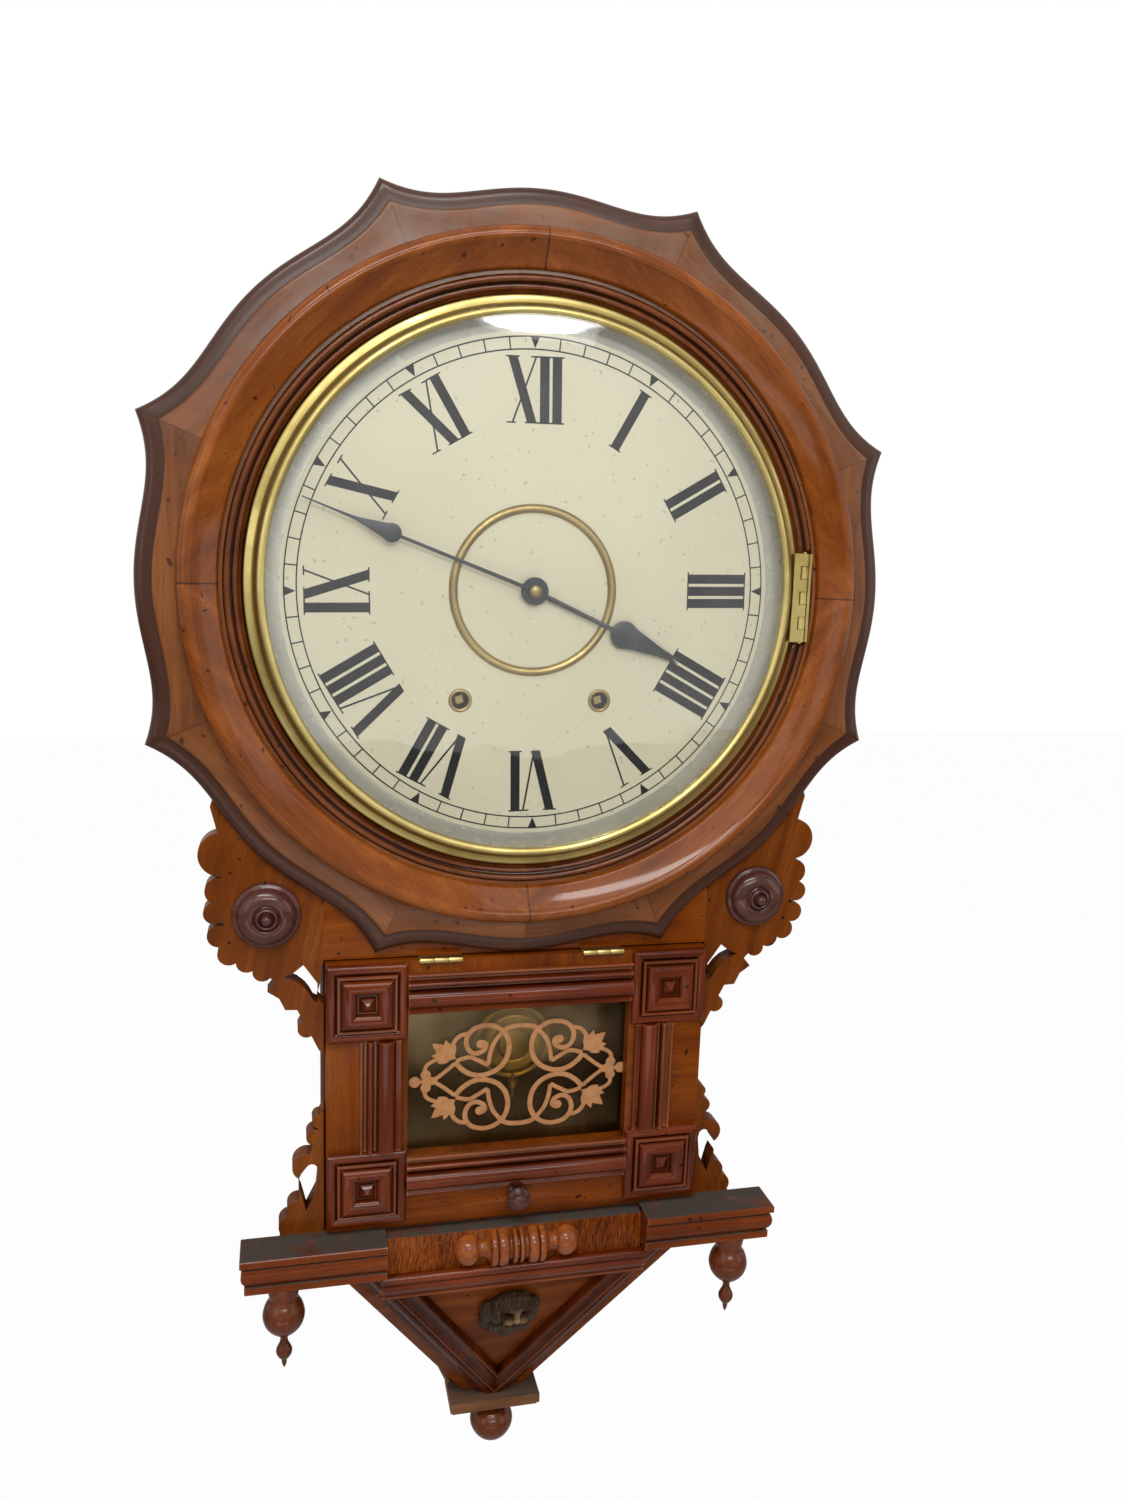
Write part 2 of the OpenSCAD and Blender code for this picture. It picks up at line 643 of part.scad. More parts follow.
// Square frames, one in the other, round a pit with a small pyramid
module corner_block() {
  pit = 11.8;
  pit_h = 4;
  slab(0, pit_h) square(block_w, center = true);
  for (frame = [[pit_h, 5.6, block_w - 12.6, pit], [5.6, 7.8, block_w - 18, pit + 1]])
    slab(frame[0], frame[1]) difference() {
      square(frame[2], center = true);
      square(frame[3], center = true);
    }
  translate([0, 0, pit_h]) rotate(45)
    cylinder(r1 = 0.56 * pit, r2 = 0.6, h = block_rise - pit_h - 1, $fn = 4);
}
module door_blocks() {
  color(mahogany) on_case() mirrored() for (y = [block_top_y, block_low_y])
    translate([block_at_x, y, door_front]) corner_block();
}
// Reeded strip along x: a hollow edge, a small reed, a wide reed and a fillet, on a flat base
module reeded(length) {
  base = 2.4;
  small_reed = [0.25, 0.08, 3];
  wide_reed = [0.63, 0.22, 4.6];
  rotate([90, 0, 90]) translate([-reed_w / 2, 0, -length / 2]) linear_extrude(length) union() {
    square([reed_w, base]);
    translate([reed_w * 0.95, base - 1]) square([reed_w * 0.05, 2.4]);
    translate([0, base - 1]) square([reed_w * 0.12, 2.2]);
    for (reed = [small_reed, wide_reed]) translate([reed_w * (1 - reed[0]), base]) intersection() {
      scale([reed_w * reed[1], reed[2]]) circle(r = 1, $fn = 24);
      translate([-reed_w, -1]) square([2 * reed_w, base + 8]);
    }
  }
}
rail_len = 2 * (block_at_x - block_w / 2);
module door_rails() {
  color(mahogany) on_case() for (y = [rail_in_top + reed_w / 2, rail_in_low - reed_w / 2])
    translate([0, y, door_front]) reeded(rail_len);
}
module door_stiles() {
  middle = (block_top_y + block_low_y) / 2;
  color(mahogany) on_case() mirrored() translate([pane_half + 4 + reed_w / 2, middle, door_front])
    rotate(-90) reeded(block_top_y - block_low_y - block_w);
}
module door_glass() {
  color("#40463c", 0.5) on_case()
    block(-pane_half - 3.6, pane_half + 3.6, rail_in_low - 3.6, rail_in_top + 3.6,
      door_back + 3.6, door_back + 6);
}
module door_knob() {
  color(oxblood) on_case() translate([0, knob_z, 0]) rotate_extrude() polygon(concat(
    [[0, door_back + 0.5], [2, door_back + 0.5], [2, door_front], [5.6, door_front],
      [5.6, door_front + 1.2], [4, door_front + 2.2]],
    [for (a = [-48:16:76]) [knob_r * cos(a), door_front + 7.8 + 5.4 * sin(a)]], [[0, door_front + 14.3]]));
}
// Two butt hinges along the door's top edge
door_knuckle_r = 1.9;
door_axis_h = door_front + door_knuckle_r + 0.1;
door_axis_z = door_top + 0.6;
door_pin_r = 0.7;
door_hinge_half = 12.6;
door_hinge_gap = 6.4;
door_hinge_x = [for (side = [-1, 1]) side * (door_half - block_w - door_hinge_gap - door_hinge_half)];
door_leaf_t = 0.5;
module along_axis(x, r, length) {
  translate([x - length / 2, door_axis_z, door_axis_h]) rotate([0, 90, 0]) cylinder(r = r, h = length);
}
// Three knuckles on each hinge: the middle one is the board's, the others are the door's
module door_knuckles(x, keep) {
  third = 2 * door_hinge_half / 3;
  for (i = keep) along_axis(x + i * third, door_knuckle_r, third - 2 * end_gap);
}
module door_knuckle_gap(x, i) {
  third = 2 * door_hinge_half / 3;
  block(x + (i - 0.5) * third - end_gap, x + (i + 0.5) * third + end_gap, door_top - 1, door_top + 2,
    door_front - 1.2, door_axis_h + 1);
}
module door_leaves() {
  color(brass) on_case() for (x = door_hinge_x) difference() {
    union() {
      door_knuckles(x, [-1, 1]);
      difference() {
        block(x - door_hinge_half, x + door_hinge_half, door_top, door_top + door_leaf_t,
          door_back + 2, door_axis_h);
        door_knuckle_gap(x, 0);
      }
    }
    along_axis(x, door_pin_r + run, 2 * door_hinge_half + 2);
  }
}
module board_leaves() {
  color(brass) on_case() for (x = door_hinge_x) {
    door_knuckles(x, [0]);
    difference() {
      block(x - door_hinge_half, x + door_hinge_half, board_foot - door_leaf_t, board_foot,
        box_front + 2, door_axis_h);
      for (i = [-1, 1]) door_knuckle_gap(x, i);
    }
    along_axis(x, door_pin_r, 2 * door_hinge_half);
  }
}

// Movement
module wheel(at, n, m, h0, h1, turn, bore) {
  pitch = 360 / n;
  r = n * m / 2;
  widths = [[-0.28, -1], [-0.19, 0], [-0.12, 0.75], [0.12, 0.75], [0.19, 0], [0.28, -1]];
  translate([at[0], at[1], h0]) rotate(turn) linear_extrude(h1 - h0) difference() {
    polygon([for (i = [0:n - 1], w = widths) let(a = (i + w[0]) * pitch) (r + w[1] * m) * [cos(a), sin(a)]]);
    circle(r = bore);
    if (r > 12) for (k = [0:4]) rotate(k * 72 + 36 - turn) intersection() {
      difference() {
        circle(r = r - 3.6 * m - 1);
        circle(r = max(bore + 2, r * 0.26));
      }
      polygon([[0, 0], 60 * [cos(27), sin(27)], 60 * [cos(27), -sin(27)]]);
    }
  }
}
module arbor(at, r, h0 = plate_back + plate_t, h1 = plate_front - plate_t) {
  rod(at, r, h0 + 0.5, h1 - 0.5);
  rod(at, pivot_r, h0 - plate_t - 0.6, h1 + plate_t + 0.6);
}
plate_half = 80;
plate_top = 56;
plate_low = -104;
pillar_r = 3;
// Reach of a mainspring's outer end to its pillar
spring_reach = 36.4;
pillar_at = [for (side = [-1, 1], p = [[74, 48], [wind_x + spring_reach, -wind_z], [40, -99]])
  [side * p[0], p[1]]];
module movement_frame() {
  color(brass) on_case() difference() {
    union() {
      for (h = [plate_back, plate_front - plate_t])
        block(-plate_half, plate_half, plate_low, plate_top, h, h + plate_t);
      for (p = pillar_at) rod(p, pillar_r, back_t, plate_front);
      difference() {
        rod([0, pendulum_top + 4.4], 2.6, plate_front - 0.5, pendulum_h + 3);
        block(-0.5, 0.5, pendulum_top - 2, pendulum_top + 10, pendulum_h - 3, pendulum_h + 4);
      }
      rod(motion_at, 1.2, plate_front, plate_front + 7);
    }
    for (p = [centre, second_at, third_at, escape_at, verge_at, strike_second_at, fly_at, hammer_at])
      rod(p, p == centre ? centre_r + run : pivot_r + run, plate_back - 1, plate_front + 0.5);
    for (p = [great_at, strike_at]) rod(p, great_arbor_r + run, plate_back - 1, plate_front + 1);
  }
}
great_arbor_r = 3.6;
spring_h = plate_back + 8;
spring_tall = plate_gap - 17;
// Flat strip wound in a spiral: its outline runs out along one side and back along the other
module spiral(r0, r1, turns, t, h0, h1) {
  steps = turns * 20;
  function at(i, side) = let(a = 360 * turns * i / steps, r = r0 + (r1 - r0) * i / steps + side * t / 2)
    r * [cos(a), sin(a)];
  slab(h0, h1) polygon(concat([for (i = [0:steps]) at(i, 1)], [for (i = [steps:-1:0]) at(i, -1)]));
}
// The outer end of each spring runs out to a pillar
module mainsprings() {
  strip = 0.7;
  color(steel) on_case() mirrored() translate([great_at[0], great_at[1], 0]) {
    spiral(great_arbor_r + 0.9, 28, 9, strip, spring_h, spring_h + spring_tall);
    block(27.8, spring_reach - pillar_r, -strip / 2, strip / 2, spring_h, spring_h + spring_tall);
  }
}
module great_wheel(at, turn) {
  wheel(at, great_n, great_m, plate_back + 4, plate_back + 6, turn, great_arbor_r - 0.1);
  rod(at, great_arbor_r, plate_back - 0.6, dial_h - 12);
  translate([at[0], at[1], dial_h - 12]) rotate(15) translate([-2.2, -2.2, 0]) cube([4.4, 4.4, 8]);
}
great_turn = 0;
second_pin_turn = mesh_turn(great_turn, great_n, heading(great_at, second_at), second_pin_n);
second_turn = 0;
centre_pin_turn = mesh_turn(second_turn, second_n, heading(second_at, centre), centre_pin_n);
centre_turn = 0;
third_pin_turn = mesh_turn(centre_turn, centre_n, heading(centre, third_at), third_pin_n);
third_turn = 0;
escape_pin_turn = mesh_turn(third_turn, third_n, heading(third_at, escape_at), escape_pin_n);
cannon_turn = 0;
minute_wheel_turn = mesh_turn(cannon_turn, cannon_n, motion_turn, minute_n);
minute_pin_turn = 0;
hour_wheel_turn = mesh_turn(minute_pin_turn, minute_pin_n, motion_turn + 180, hour_n);
module great_arbor() {
  color(brass) on_case() great_wheel(great_at, great_turn);
}
module second_arbor() {
  color(brass) on_case() {
    wheel(second_at, second_n, second_m, plate_front - 7, plate_front - 5.5, second_turn, 1.9);
    wheel(second_at, second_pin_n, great_m, plate_back + 3, plate_back + 7, second_pin_turn, 1.9);
    arbor(second_at, 2);
  }
}
module centre_arbor() {
  color(brass) on_case() {
    wheel(centre, centre_n, centre_m, plate_front - 13, plate_front - 11.5, centre_turn, 1.5);
    wheel(centre, centre_pin_n, second_m, plate_front - 8, plate_front - 4, centre_pin_turn, 1.5);
    rod(centre, centre_r, plate_back - 0.6, minute_h - 0.4);
  }
}
// Pipe that slips on the centre arbor so that the hands can be set; it carries the minute hand
module cannon_pipe() {
  color(brass) on_case() difference() {
    union() {
      wheel(centre, cannon_n, cannon_m, plate_front + 0.8, plate_front + 4, cannon_turn, cannon_r - 0.1);
      rod(centre, cannon_r, plate_front + 0.4, minute_h + hand_t);
    }
    rod(centre, centre_r + run, 0, 100);
  }
}
module third_arbor() {
  color(brass) on_case() {
    wheel(third_at, third_n, third_m, plate_back + 12, plate_back + 13.5, third_turn, 1.4);
    wheel(third_at, third_pin_n, centre_m, plate_front - 14, plate_front - 10, third_pin_turn, 1.4);
    arbor(third_at, 1.5);
  }
}
// Escape wheel with raked pointed teeth
module escape_arbor() {
  pitch = 360 / escape_n;
  root = escape_r - 2.2;
  color(brass) on_case() {
    translate([escape_at[0], escape_at[1], plate_front - 10]) linear_extrude(1.5) difference() {
      polygon([for (i = [0:escape_n - 1], w = [[0, root], [0.25, escape_r], [0.34, escape_r], [0.62, root]])
        w[1] * [cos((i + w[0]) * pitch), sin((i + w[0]) * pitch)]]);
      circle(r = 1.4);
      for (k = [0:4]) rotate(k * 72) translate([escape_r * 0.52, 0]) circle(r = 3.4);
    }
    wheel(escape_at, escape_pin_n, third_m, plate_back + 11, plate_back + 15, escape_pin_turn, 1.4);
    arbor(escape_at, 1.5);
  }
}
module hour_pipe() {
  color(brass) on_case() difference() {
    union() {
      wheel(centre, hour_n, hour_m, plate_front + 5.6, plate_front + 6.8, hour_wheel_turn, pipe_r - 0.2);
      rod(centre, pipe_r, plate_front + 4.6, hour_h + hand_t + 0.4);
    }
    rod(centre, cannon_r + run, 0, 100);
  }
}
module motion_arbor() {
  color(brass) on_case() difference() {
    union() {
      wheel(motion_at, minute_n, cannon_m, plate_front + 1.6, plate_front + 3, minute_wheel_turn, 1.4);
      wheel(motion_at, minute_pin_n, hour_m, plate_front + 3, plate_front + 6.8, minute_pin_turn, 1.4);
      rod(motion_at, 1.6, plate_front + 0.6, plate_front + 6.8);
    }
    rod(motion_at, 1.2 + run, 0, 100);
  }
}
// Verge: an arched strip with two pallets just clear of the teeth, and a wire crutch
module verge() {
  toward = heading(escape_at, verge_at);
  span = 44;
  gap = 1.3;
  color(steel) on_case() {
    slab(plate_front - 10.6, plate_front - 7.9) union() {
      translate(verge_at) circle(r = 2.6);
      for (side = [-1, 1]) {
        out = [cos(toward + side * span), sin(toward + side * span)];
        bar(escape_at + (escape_r + gap) * out, escape_at + (escape_r + gap + 3.6) * out, 1.1);
        bar(verge_at, escape_at + (escape_r + gap + 3) * out, 1.3);
      }
    }
    arbor(verge_at, 1.5);
    rod(verge_at, pivot_r, plate_front, crutch_h + 0.6);
    slab(crutch_h - 0.7, crutch_h + 0.7) union() {
      translate(verge_at) circle(r = 2.6);
      bar(verge_at, [-10, 16], 0.7);
      bar([-10, 16.5], [-10, -8.5], 0.7);
      bar([-10, -8], [-2.4, fork_z], 0.7);
    }
    slab(crutch_h - 0.7, pendulum_h + 2.2) for (side = [-1, 1])
      translate([side * 2.1, fork_z]) square([1, 3.2], center = true);
    slab(crutch_h - 0.7, crutch_h + 0.7) translate([0, fork_z]) square([5.2, 2], center = true);
  }
}
// Pendulum: spring, wire rod with an eye that clears the hands' arbor, and a hook for the bob
bob_y = pendulum_top - pendulum_len;
wire_r = 1;
// Upright round bar in the pendulum's plane, from height y0 to y1
module upright(y0, y1, r) {
  translate([0, y0, pendulum_h]) rotate([-90, 0, 0]) cylinder(r = r, h = y1 - y0);
}
module pendulum_rod() {
  eye_w = 9;
  eye_h = 10;
  color(steel) on_case() {
    block(-0.15, 0.15, pendulum_top - 8, pendulum_top + 5, pendulum_h - 2.4, pendulum_h + 2.4);
    block(-1.2, 1.2, pendulum_top - 12, pendulum_top - 8, pendulum_h - 3, pendulum_h + 3);
    upright(eye_h - 0.3, pendulum_top - 12, wire_r);
    slab(pendulum_h - 0.9, pendulum_h + 0.9) difference() {
      scale([eye_w + 0.8, eye_h + 0.8]) circle(r = 1);
      scale([eye_w - 0.8, eye_h - 0.8]) circle(r = 1);
    }
    upright(bob_y - bob_r - 12, 0.3 - eye_h, wire_r);
  }
}
module pendulum_bob() {
  color(brass) on_case() difference() {
    translate([0, bob_y, pendulum_h - 4]) rotate_extrude()
      polygon([[0, 0], [bob_r - 1, 0], [bob_r, 1], [bob_r, 2.4], [bob_r - 2, 4.2], [bob_r - 5, 4.6],
        [bob_r - 6, 6.4], [8, 7.2], [6, 8.4], [0, 8.8]]);
    upright(bob_y - bob_r - 1, bob_y + bob_r + 1, wire_r + run);
  }
}
// Nut under the bob that sets the rate
module rating_nut() {
  tall = 4;
  color(brass) on_case() difference() {
    upright(bob_y - bob_r - tall, bob_y - bob_r, 3.6);
    upright(bob_y - bob_r - tall - 1, bob_y - bob_r + 1, wire_r + run);
  }
}
// Striking work: great wheel, second wheel, fly, hammer and coiled gong
strike_turn = 0;
strike_pin_turn = mesh_turn(strike_turn, great_n, heading(strike_at, strike_second_at), second_pin_n);
strike_second_turn = 0;
fly_turn = mesh_turn(strike_second_turn, strike_second_n, heading(strike_second_at, fly_at), fly_n);
module strike_arbor() {
  color(brass) on_case() great_wheel(strike_at, strike_turn);
}
module strike_second() {
  color(brass) on_case() {
    wheel(strike_second_at, strike_second_n, strike_m, plate_front - 5, plate_front - 3.8,
      strike_second_turn, 1.4);
    wheel(strike_second_at, second_pin_n, great_m, plate_back + 3, plate_back + 7, strike_pin_turn, 1.4);
    arbor(strike_second_at, 1.5);
  }
}
module fly() {
  color(brass) on_case() {
    wheel(fly_at, fly_n, strike_m, plate_front - 6.5, plate_front - 2.4, fly_turn, 1.4);
    arbor(fly_at, 1.5);
    block(fly_at[0] - 11, fly_at[0] + 11, fly_at[1] - 0.4, fly_at[1] + 0.4, plate_back + 4, plate_back + 20);
  }
}
hammer_head = [-14, -205];
module hammer() {
  color(steel) on_case() {
    arbor(hammer_at, 1.6);
    slab(hammer_h - 1, hammer_h + 1) {
      translate(hammer_at) circle(r = 3);
      bar(hammer_at, hammer_head, 1);
    }
    translate([hammer_head[0] - 7, hammer_head[1], hammer_h]) rotate([0, 90, 0]) cylinder(r = 4, h = 14);
  }
}
hammer_h = plate_back + 6;
gong_wire = 1.6;
module gong() {
  color(steel) on_case() translate([gong_at[0], gong_at[1], 0]) {
    spiral(5, gong_r, 6, gong_wire, hammer_h - 2.2, hammer_h + 2.2);
    rod([0, 0], 5.6, back_t, hammer_h + 3.4);
    rod([0, 0], 11, back_t, back_t + 4);
  }
}

backboard();
hanger_plate();
head_box();
trunk_sides();
trunk_bottom();
front_board();
surround();
round_moulding();
bead_moulding();
dial_seat();
ears();
ear_bosses();
brackets();
shelves();
apron();
split_turning();
ledge();
foot_panel();
foot_cheeks();
foot_mouldings();
mask();
plinth();
bottom_drop();
finials();
dial_plate();
dial_trim();
bezel();
bezel_glass();
bezel_leaf();
case_leaf();
minute_hand();
hour_hand();
hand_nut();
door_frame();
door_blocks();
door_rails();
door_stiles();
door_glass();
door_knob();
door_leaves();
board_leaves();
movement_frame();
mainsprings();
centre_arbor();
cannon_pipe();
hour_pipe();
motion_arbor();
great_arbor();
second_arbor();
third_arbor();
escape_arbor();
verge();
pendulum_rod();
pendulum_bob();
rating_nut();
strike_arbor();
strike_second();
fly();
hammer();
gong();
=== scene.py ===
"""Drop dial wall clock: its timber, brass, paint and glass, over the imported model.

Pieces are drawn in case millimetres, x to the right and y up from the middle of the dial and h out
from the wall, and are placed in metres in the shared frame. Each section makes one piece or one group."""

import math

import bmesh
import bpy
from mathutils import Matrix, Vector


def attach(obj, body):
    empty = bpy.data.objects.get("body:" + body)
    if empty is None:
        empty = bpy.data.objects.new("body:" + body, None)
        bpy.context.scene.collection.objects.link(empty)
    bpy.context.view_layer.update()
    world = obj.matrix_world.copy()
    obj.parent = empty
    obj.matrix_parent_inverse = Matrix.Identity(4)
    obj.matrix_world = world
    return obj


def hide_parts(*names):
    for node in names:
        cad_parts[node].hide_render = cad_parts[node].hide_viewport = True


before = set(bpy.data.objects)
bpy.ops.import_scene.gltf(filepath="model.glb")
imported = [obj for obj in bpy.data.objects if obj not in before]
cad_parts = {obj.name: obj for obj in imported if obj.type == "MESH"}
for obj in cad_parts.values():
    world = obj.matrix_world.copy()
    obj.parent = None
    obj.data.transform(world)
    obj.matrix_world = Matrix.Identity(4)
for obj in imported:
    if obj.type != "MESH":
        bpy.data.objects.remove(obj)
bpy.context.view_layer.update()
scene = bpy.context.scene

# The viewer stands below the dial's middle, a little to its left, and looks slightly down.
# The lens was fitted to the round and straight parts that the photograph shows.
right = Vector((0.9725, -0.2305, 0.0331))
up = Vector((0.0078, 0.1743, 0.9847))
back = Vector((-0.2327, -0.9573, 0.1713))
eye = Matrix.Translation((-0.1354, -0.7182, -0.1416))
viewer = bpy.data.cameras.new("viewer")
viewer.lens = 36.824
viewer.sensor_width = 36
viewer.sensor_fit = "HORIZONTAL"
viewer.clip_start = 0.01
stand = bpy.data.objects.new("viewer", viewer)
stand.matrix_world = eye @ Matrix((right, up, back)).transposed().to_4x4()
scene.collection.objects.link(stand)
scene.camera = stand
scene.view_settings.view_transform = "Standard"

# Light: a wide skylight above the viewer, a bright strip in its upper part for the varnish, a low strip
# whose edge glances in the top of the dial's glass, and weak panels from the left, the right and below.
CLOCK_MIDDLE = Vector((0, 0, -0.3))


def hang_lamp(name, place, size, watts):
    """A rectangular panel, hung at its place and facing the clock."""
    lamp = bpy.data.lights.new(name, "AREA")
    lamp.shape = "RECTANGLE"
    lamp.size, lamp.size_y = size
    lamp.energy = watts
    panel = bpy.data.objects.new(name, lamp)
    aim = (CLOCK_MIDDLE - Vector(place)).to_track_quat("-Z", "Y")
    panel.matrix_world = Matrix.Translation(place) @ aim.to_matrix().to_4x4()
    scene.collection.objects.link(panel)


hang_lamp("skylight", (-0.2, -1.45, 0.95), (1.7, 1.67), 16)
hang_lamp("high_strip", (-0.35, -1.25, 1.25), (1.3, 0.22), 18)
hang_lamp("low_strip", (0.05, -1.59, 0.343), (0.8, 0.2), 5.5)
hang_lamp("left_lamp", (-1.6, -1.3, 0.3), (0.9, 1.2), 5)
hang_lamp("right_lamp", (1.7, -1.2, 0.1), (0.7, 1.2), 4)
hang_lamp("low_lamp", (-0.3, -1.5, -1.02), (1.6, 0.3), 3)


# Pale floor far below the clock, and a white room. The eye, gloss and glass see the room as white,
# and it gives the clock only a weak even light. The two classes carry the shader work.
class Thread:
    """One socket. Arithmetic on it adds Math nodes."""

    def __init__(self, finish, socket):
        self.finish = finish
        self.socket = socket

    def step(self, operation, a, b):
        return self.finish.node("ShaderNodeMath", {"operation": operation}, {0: a, 1: b})

    def __add__(self, other):
        return self.step("ADD", self, other)

    __radd__ = __add__

    def __sub__(self, other):
        return self.step("SUBTRACT", self, other)

    def __rsub__(self, other):
        return self.step("SUBTRACT", other, self)

    def __mul__(self, other):
        return self.step("MULTIPLY", self, other)

    __rmul__ = __mul__

    def __pow__(self, other):
        return self.step("POWER", self, other)


class Finish:
    """One material, or the room, whose nodes all come from one method."""

    def __init__(self, name, store=bpy.data.materials):
        self.owner = store.new(name)
        self.owner.use_nodes = True
        self.nodes = self.owner.node_tree.nodes
        self.links = self.owner.node_tree.links
        self.output = next(node for node in self.nodes if node.type.startswith("OUTPUT"))
        self.shader = next(node for node in self.nodes if node != self.output)

    def node(self, kind, settings, sockets, out=0):
        """Adds a node: its settings first, then the values or links of its sockets."""
        made = self.nodes.new(kind)
        for name, value in settings.items():
            if name == "stops":
                while len(made.color_ramp.elements) < len(value):
                    made.color_ramp.elements.new(0.5)
                for element, (place, colour) in zip(made.color_ramp.elements, value):
                    element.position = place
                    element.color = (*colour, 1)
            else:
                setattr(made, name, value)
        self.plug(made, sockets)
        return Thread(self, made.outputs[out])

    def plug(self, made, sockets):
        for name, value in sockets.items():
            if isinstance(value, Thread):
                self.links.new(value.socket, made.inputs[name])
            else:
                made.inputs[name].default_value = value

    def surface(self, **sockets):
        self.plug(self.shader, {name.replace("_", " "): value for name, value in sockets.items()})

    def cover(self, shader):
        """Shows a mixed shader in place of the plain one."""
        self.links.new(shader.socket, self.output.inputs[0])

    def position(self):
        return self.node("ShaderNodeTexCoord", {}, {}, out="Object")

    def parts(self, vector):
        split = self.node("ShaderNodeSeparateXYZ", {}, {0: vector}).socket.node
        return [Thread(self, socket) for socket in split.outputs]

    def stretch(self, vector, amounts):
        return self.node("ShaderNodeMapping", {"vector_type": "POINT"}, {"Vector": vector, "Scale": amounts})

    def clouds(self, vector, scale, detail=3.0, roughness=0.5, distortion=0.0):
        return self.node("ShaderNodeTexNoise", {}, {"Vector": vector, "Scale": scale, "Detail": detail,
                                                    "Roughness": roughness, "Distortion": distortion})

    def ramp(self, value, stops):
        return self.node("ShaderNodeValToRGB", {"stops": stops}, {"Fac": value})

    def between(self, value, low, high):
        return self.node("ShaderNodeMapRange", {"clamp": True}, {0: value, 1: low, 2: high, 3: 0.0, 4: 1.0})

    def mix(self, share, a, b):
        a, b = [end if isinstance(end, Thread) else (*end, 1) for end in (a, b)]
        return self.node("ShaderNodeMix", {"data_type": "RGBA"}, {0: share, 6: a, 7: b}, out=2)

    def crevice(self, reach, inside=False):
        """How near an inner corner lies, or with inside an outer edge."""
        settings = {"only_local": True, "samples": 4, "inside": inside}
        return 1 - self.node("ShaderNodeAmbientOcclusion", settings, {"Distance": reach}, out="AO")

    def bump(self, height, depth):
        return self.node("ShaderNodeBump", {}, {"Height": height, "Distance": depth})


def sees(finish, ray):
    """One where a ray of this kind meets the surface, otherwise zero."""
    return finish.node("ShaderNodeLightPath", {}, {}, out="Is " + ray + " Ray")


floor_paint = Finish("floor_paint")
floor_paint.surface(Base_Color=(0.8, 0.8, 0.79, 1), Roughness=0.8)
glow = floor_paint.node("ShaderNodeEmission", {}, {"Color": (1, 1, 1, 1), "Strength": 1.0})
lit = Thread(floor_paint, floor_paint.shader.outputs[0])
whiten = sees(floor_paint, "Camera") * 0.97
floor_paint.cover(floor_paint.node("ShaderNodeMixShader", {}, {0: whiten, 1: lit, 2: glow}))
bm = bmesh.new()
bmesh.ops.create_grid(bm, x_segments=1, y_segments=1, size=6)
bmesh.ops.translate(bm, verts=bm.verts, vec=(0, 0, -1.25))
mesh = bpy.data.meshes.new("floor")
bm.to_mesh(mesh)
bm.free()
mesh.materials.append(floor_paint.owner)
floor = bpy.data.objects.new("floor", mesh)
scene.collection.objects.link(floor)

room = Finish("room", bpy.data.worlds)
seen = room.node("ShaderNodeMath", {"operation": "ADD", "use_clamp": True},
                 {0: sees(room, "Camera") + sees(room, "Glossy"), 1: sees(room, "Transmission")})
room.surface(Color=room.mix(seen, (0.22, 0.225, 0.235), (1, 1, 1)))
scene.world = room.owner

# Backboard of bare aged pine with upright grain, and the plate let into it that takes the hook.
# Pine also makes the seat behind the dial, which is not seen from in front.
DIAL_Z = -0.165


def darker(colour, share):
    return tuple(c * share for c in colour)


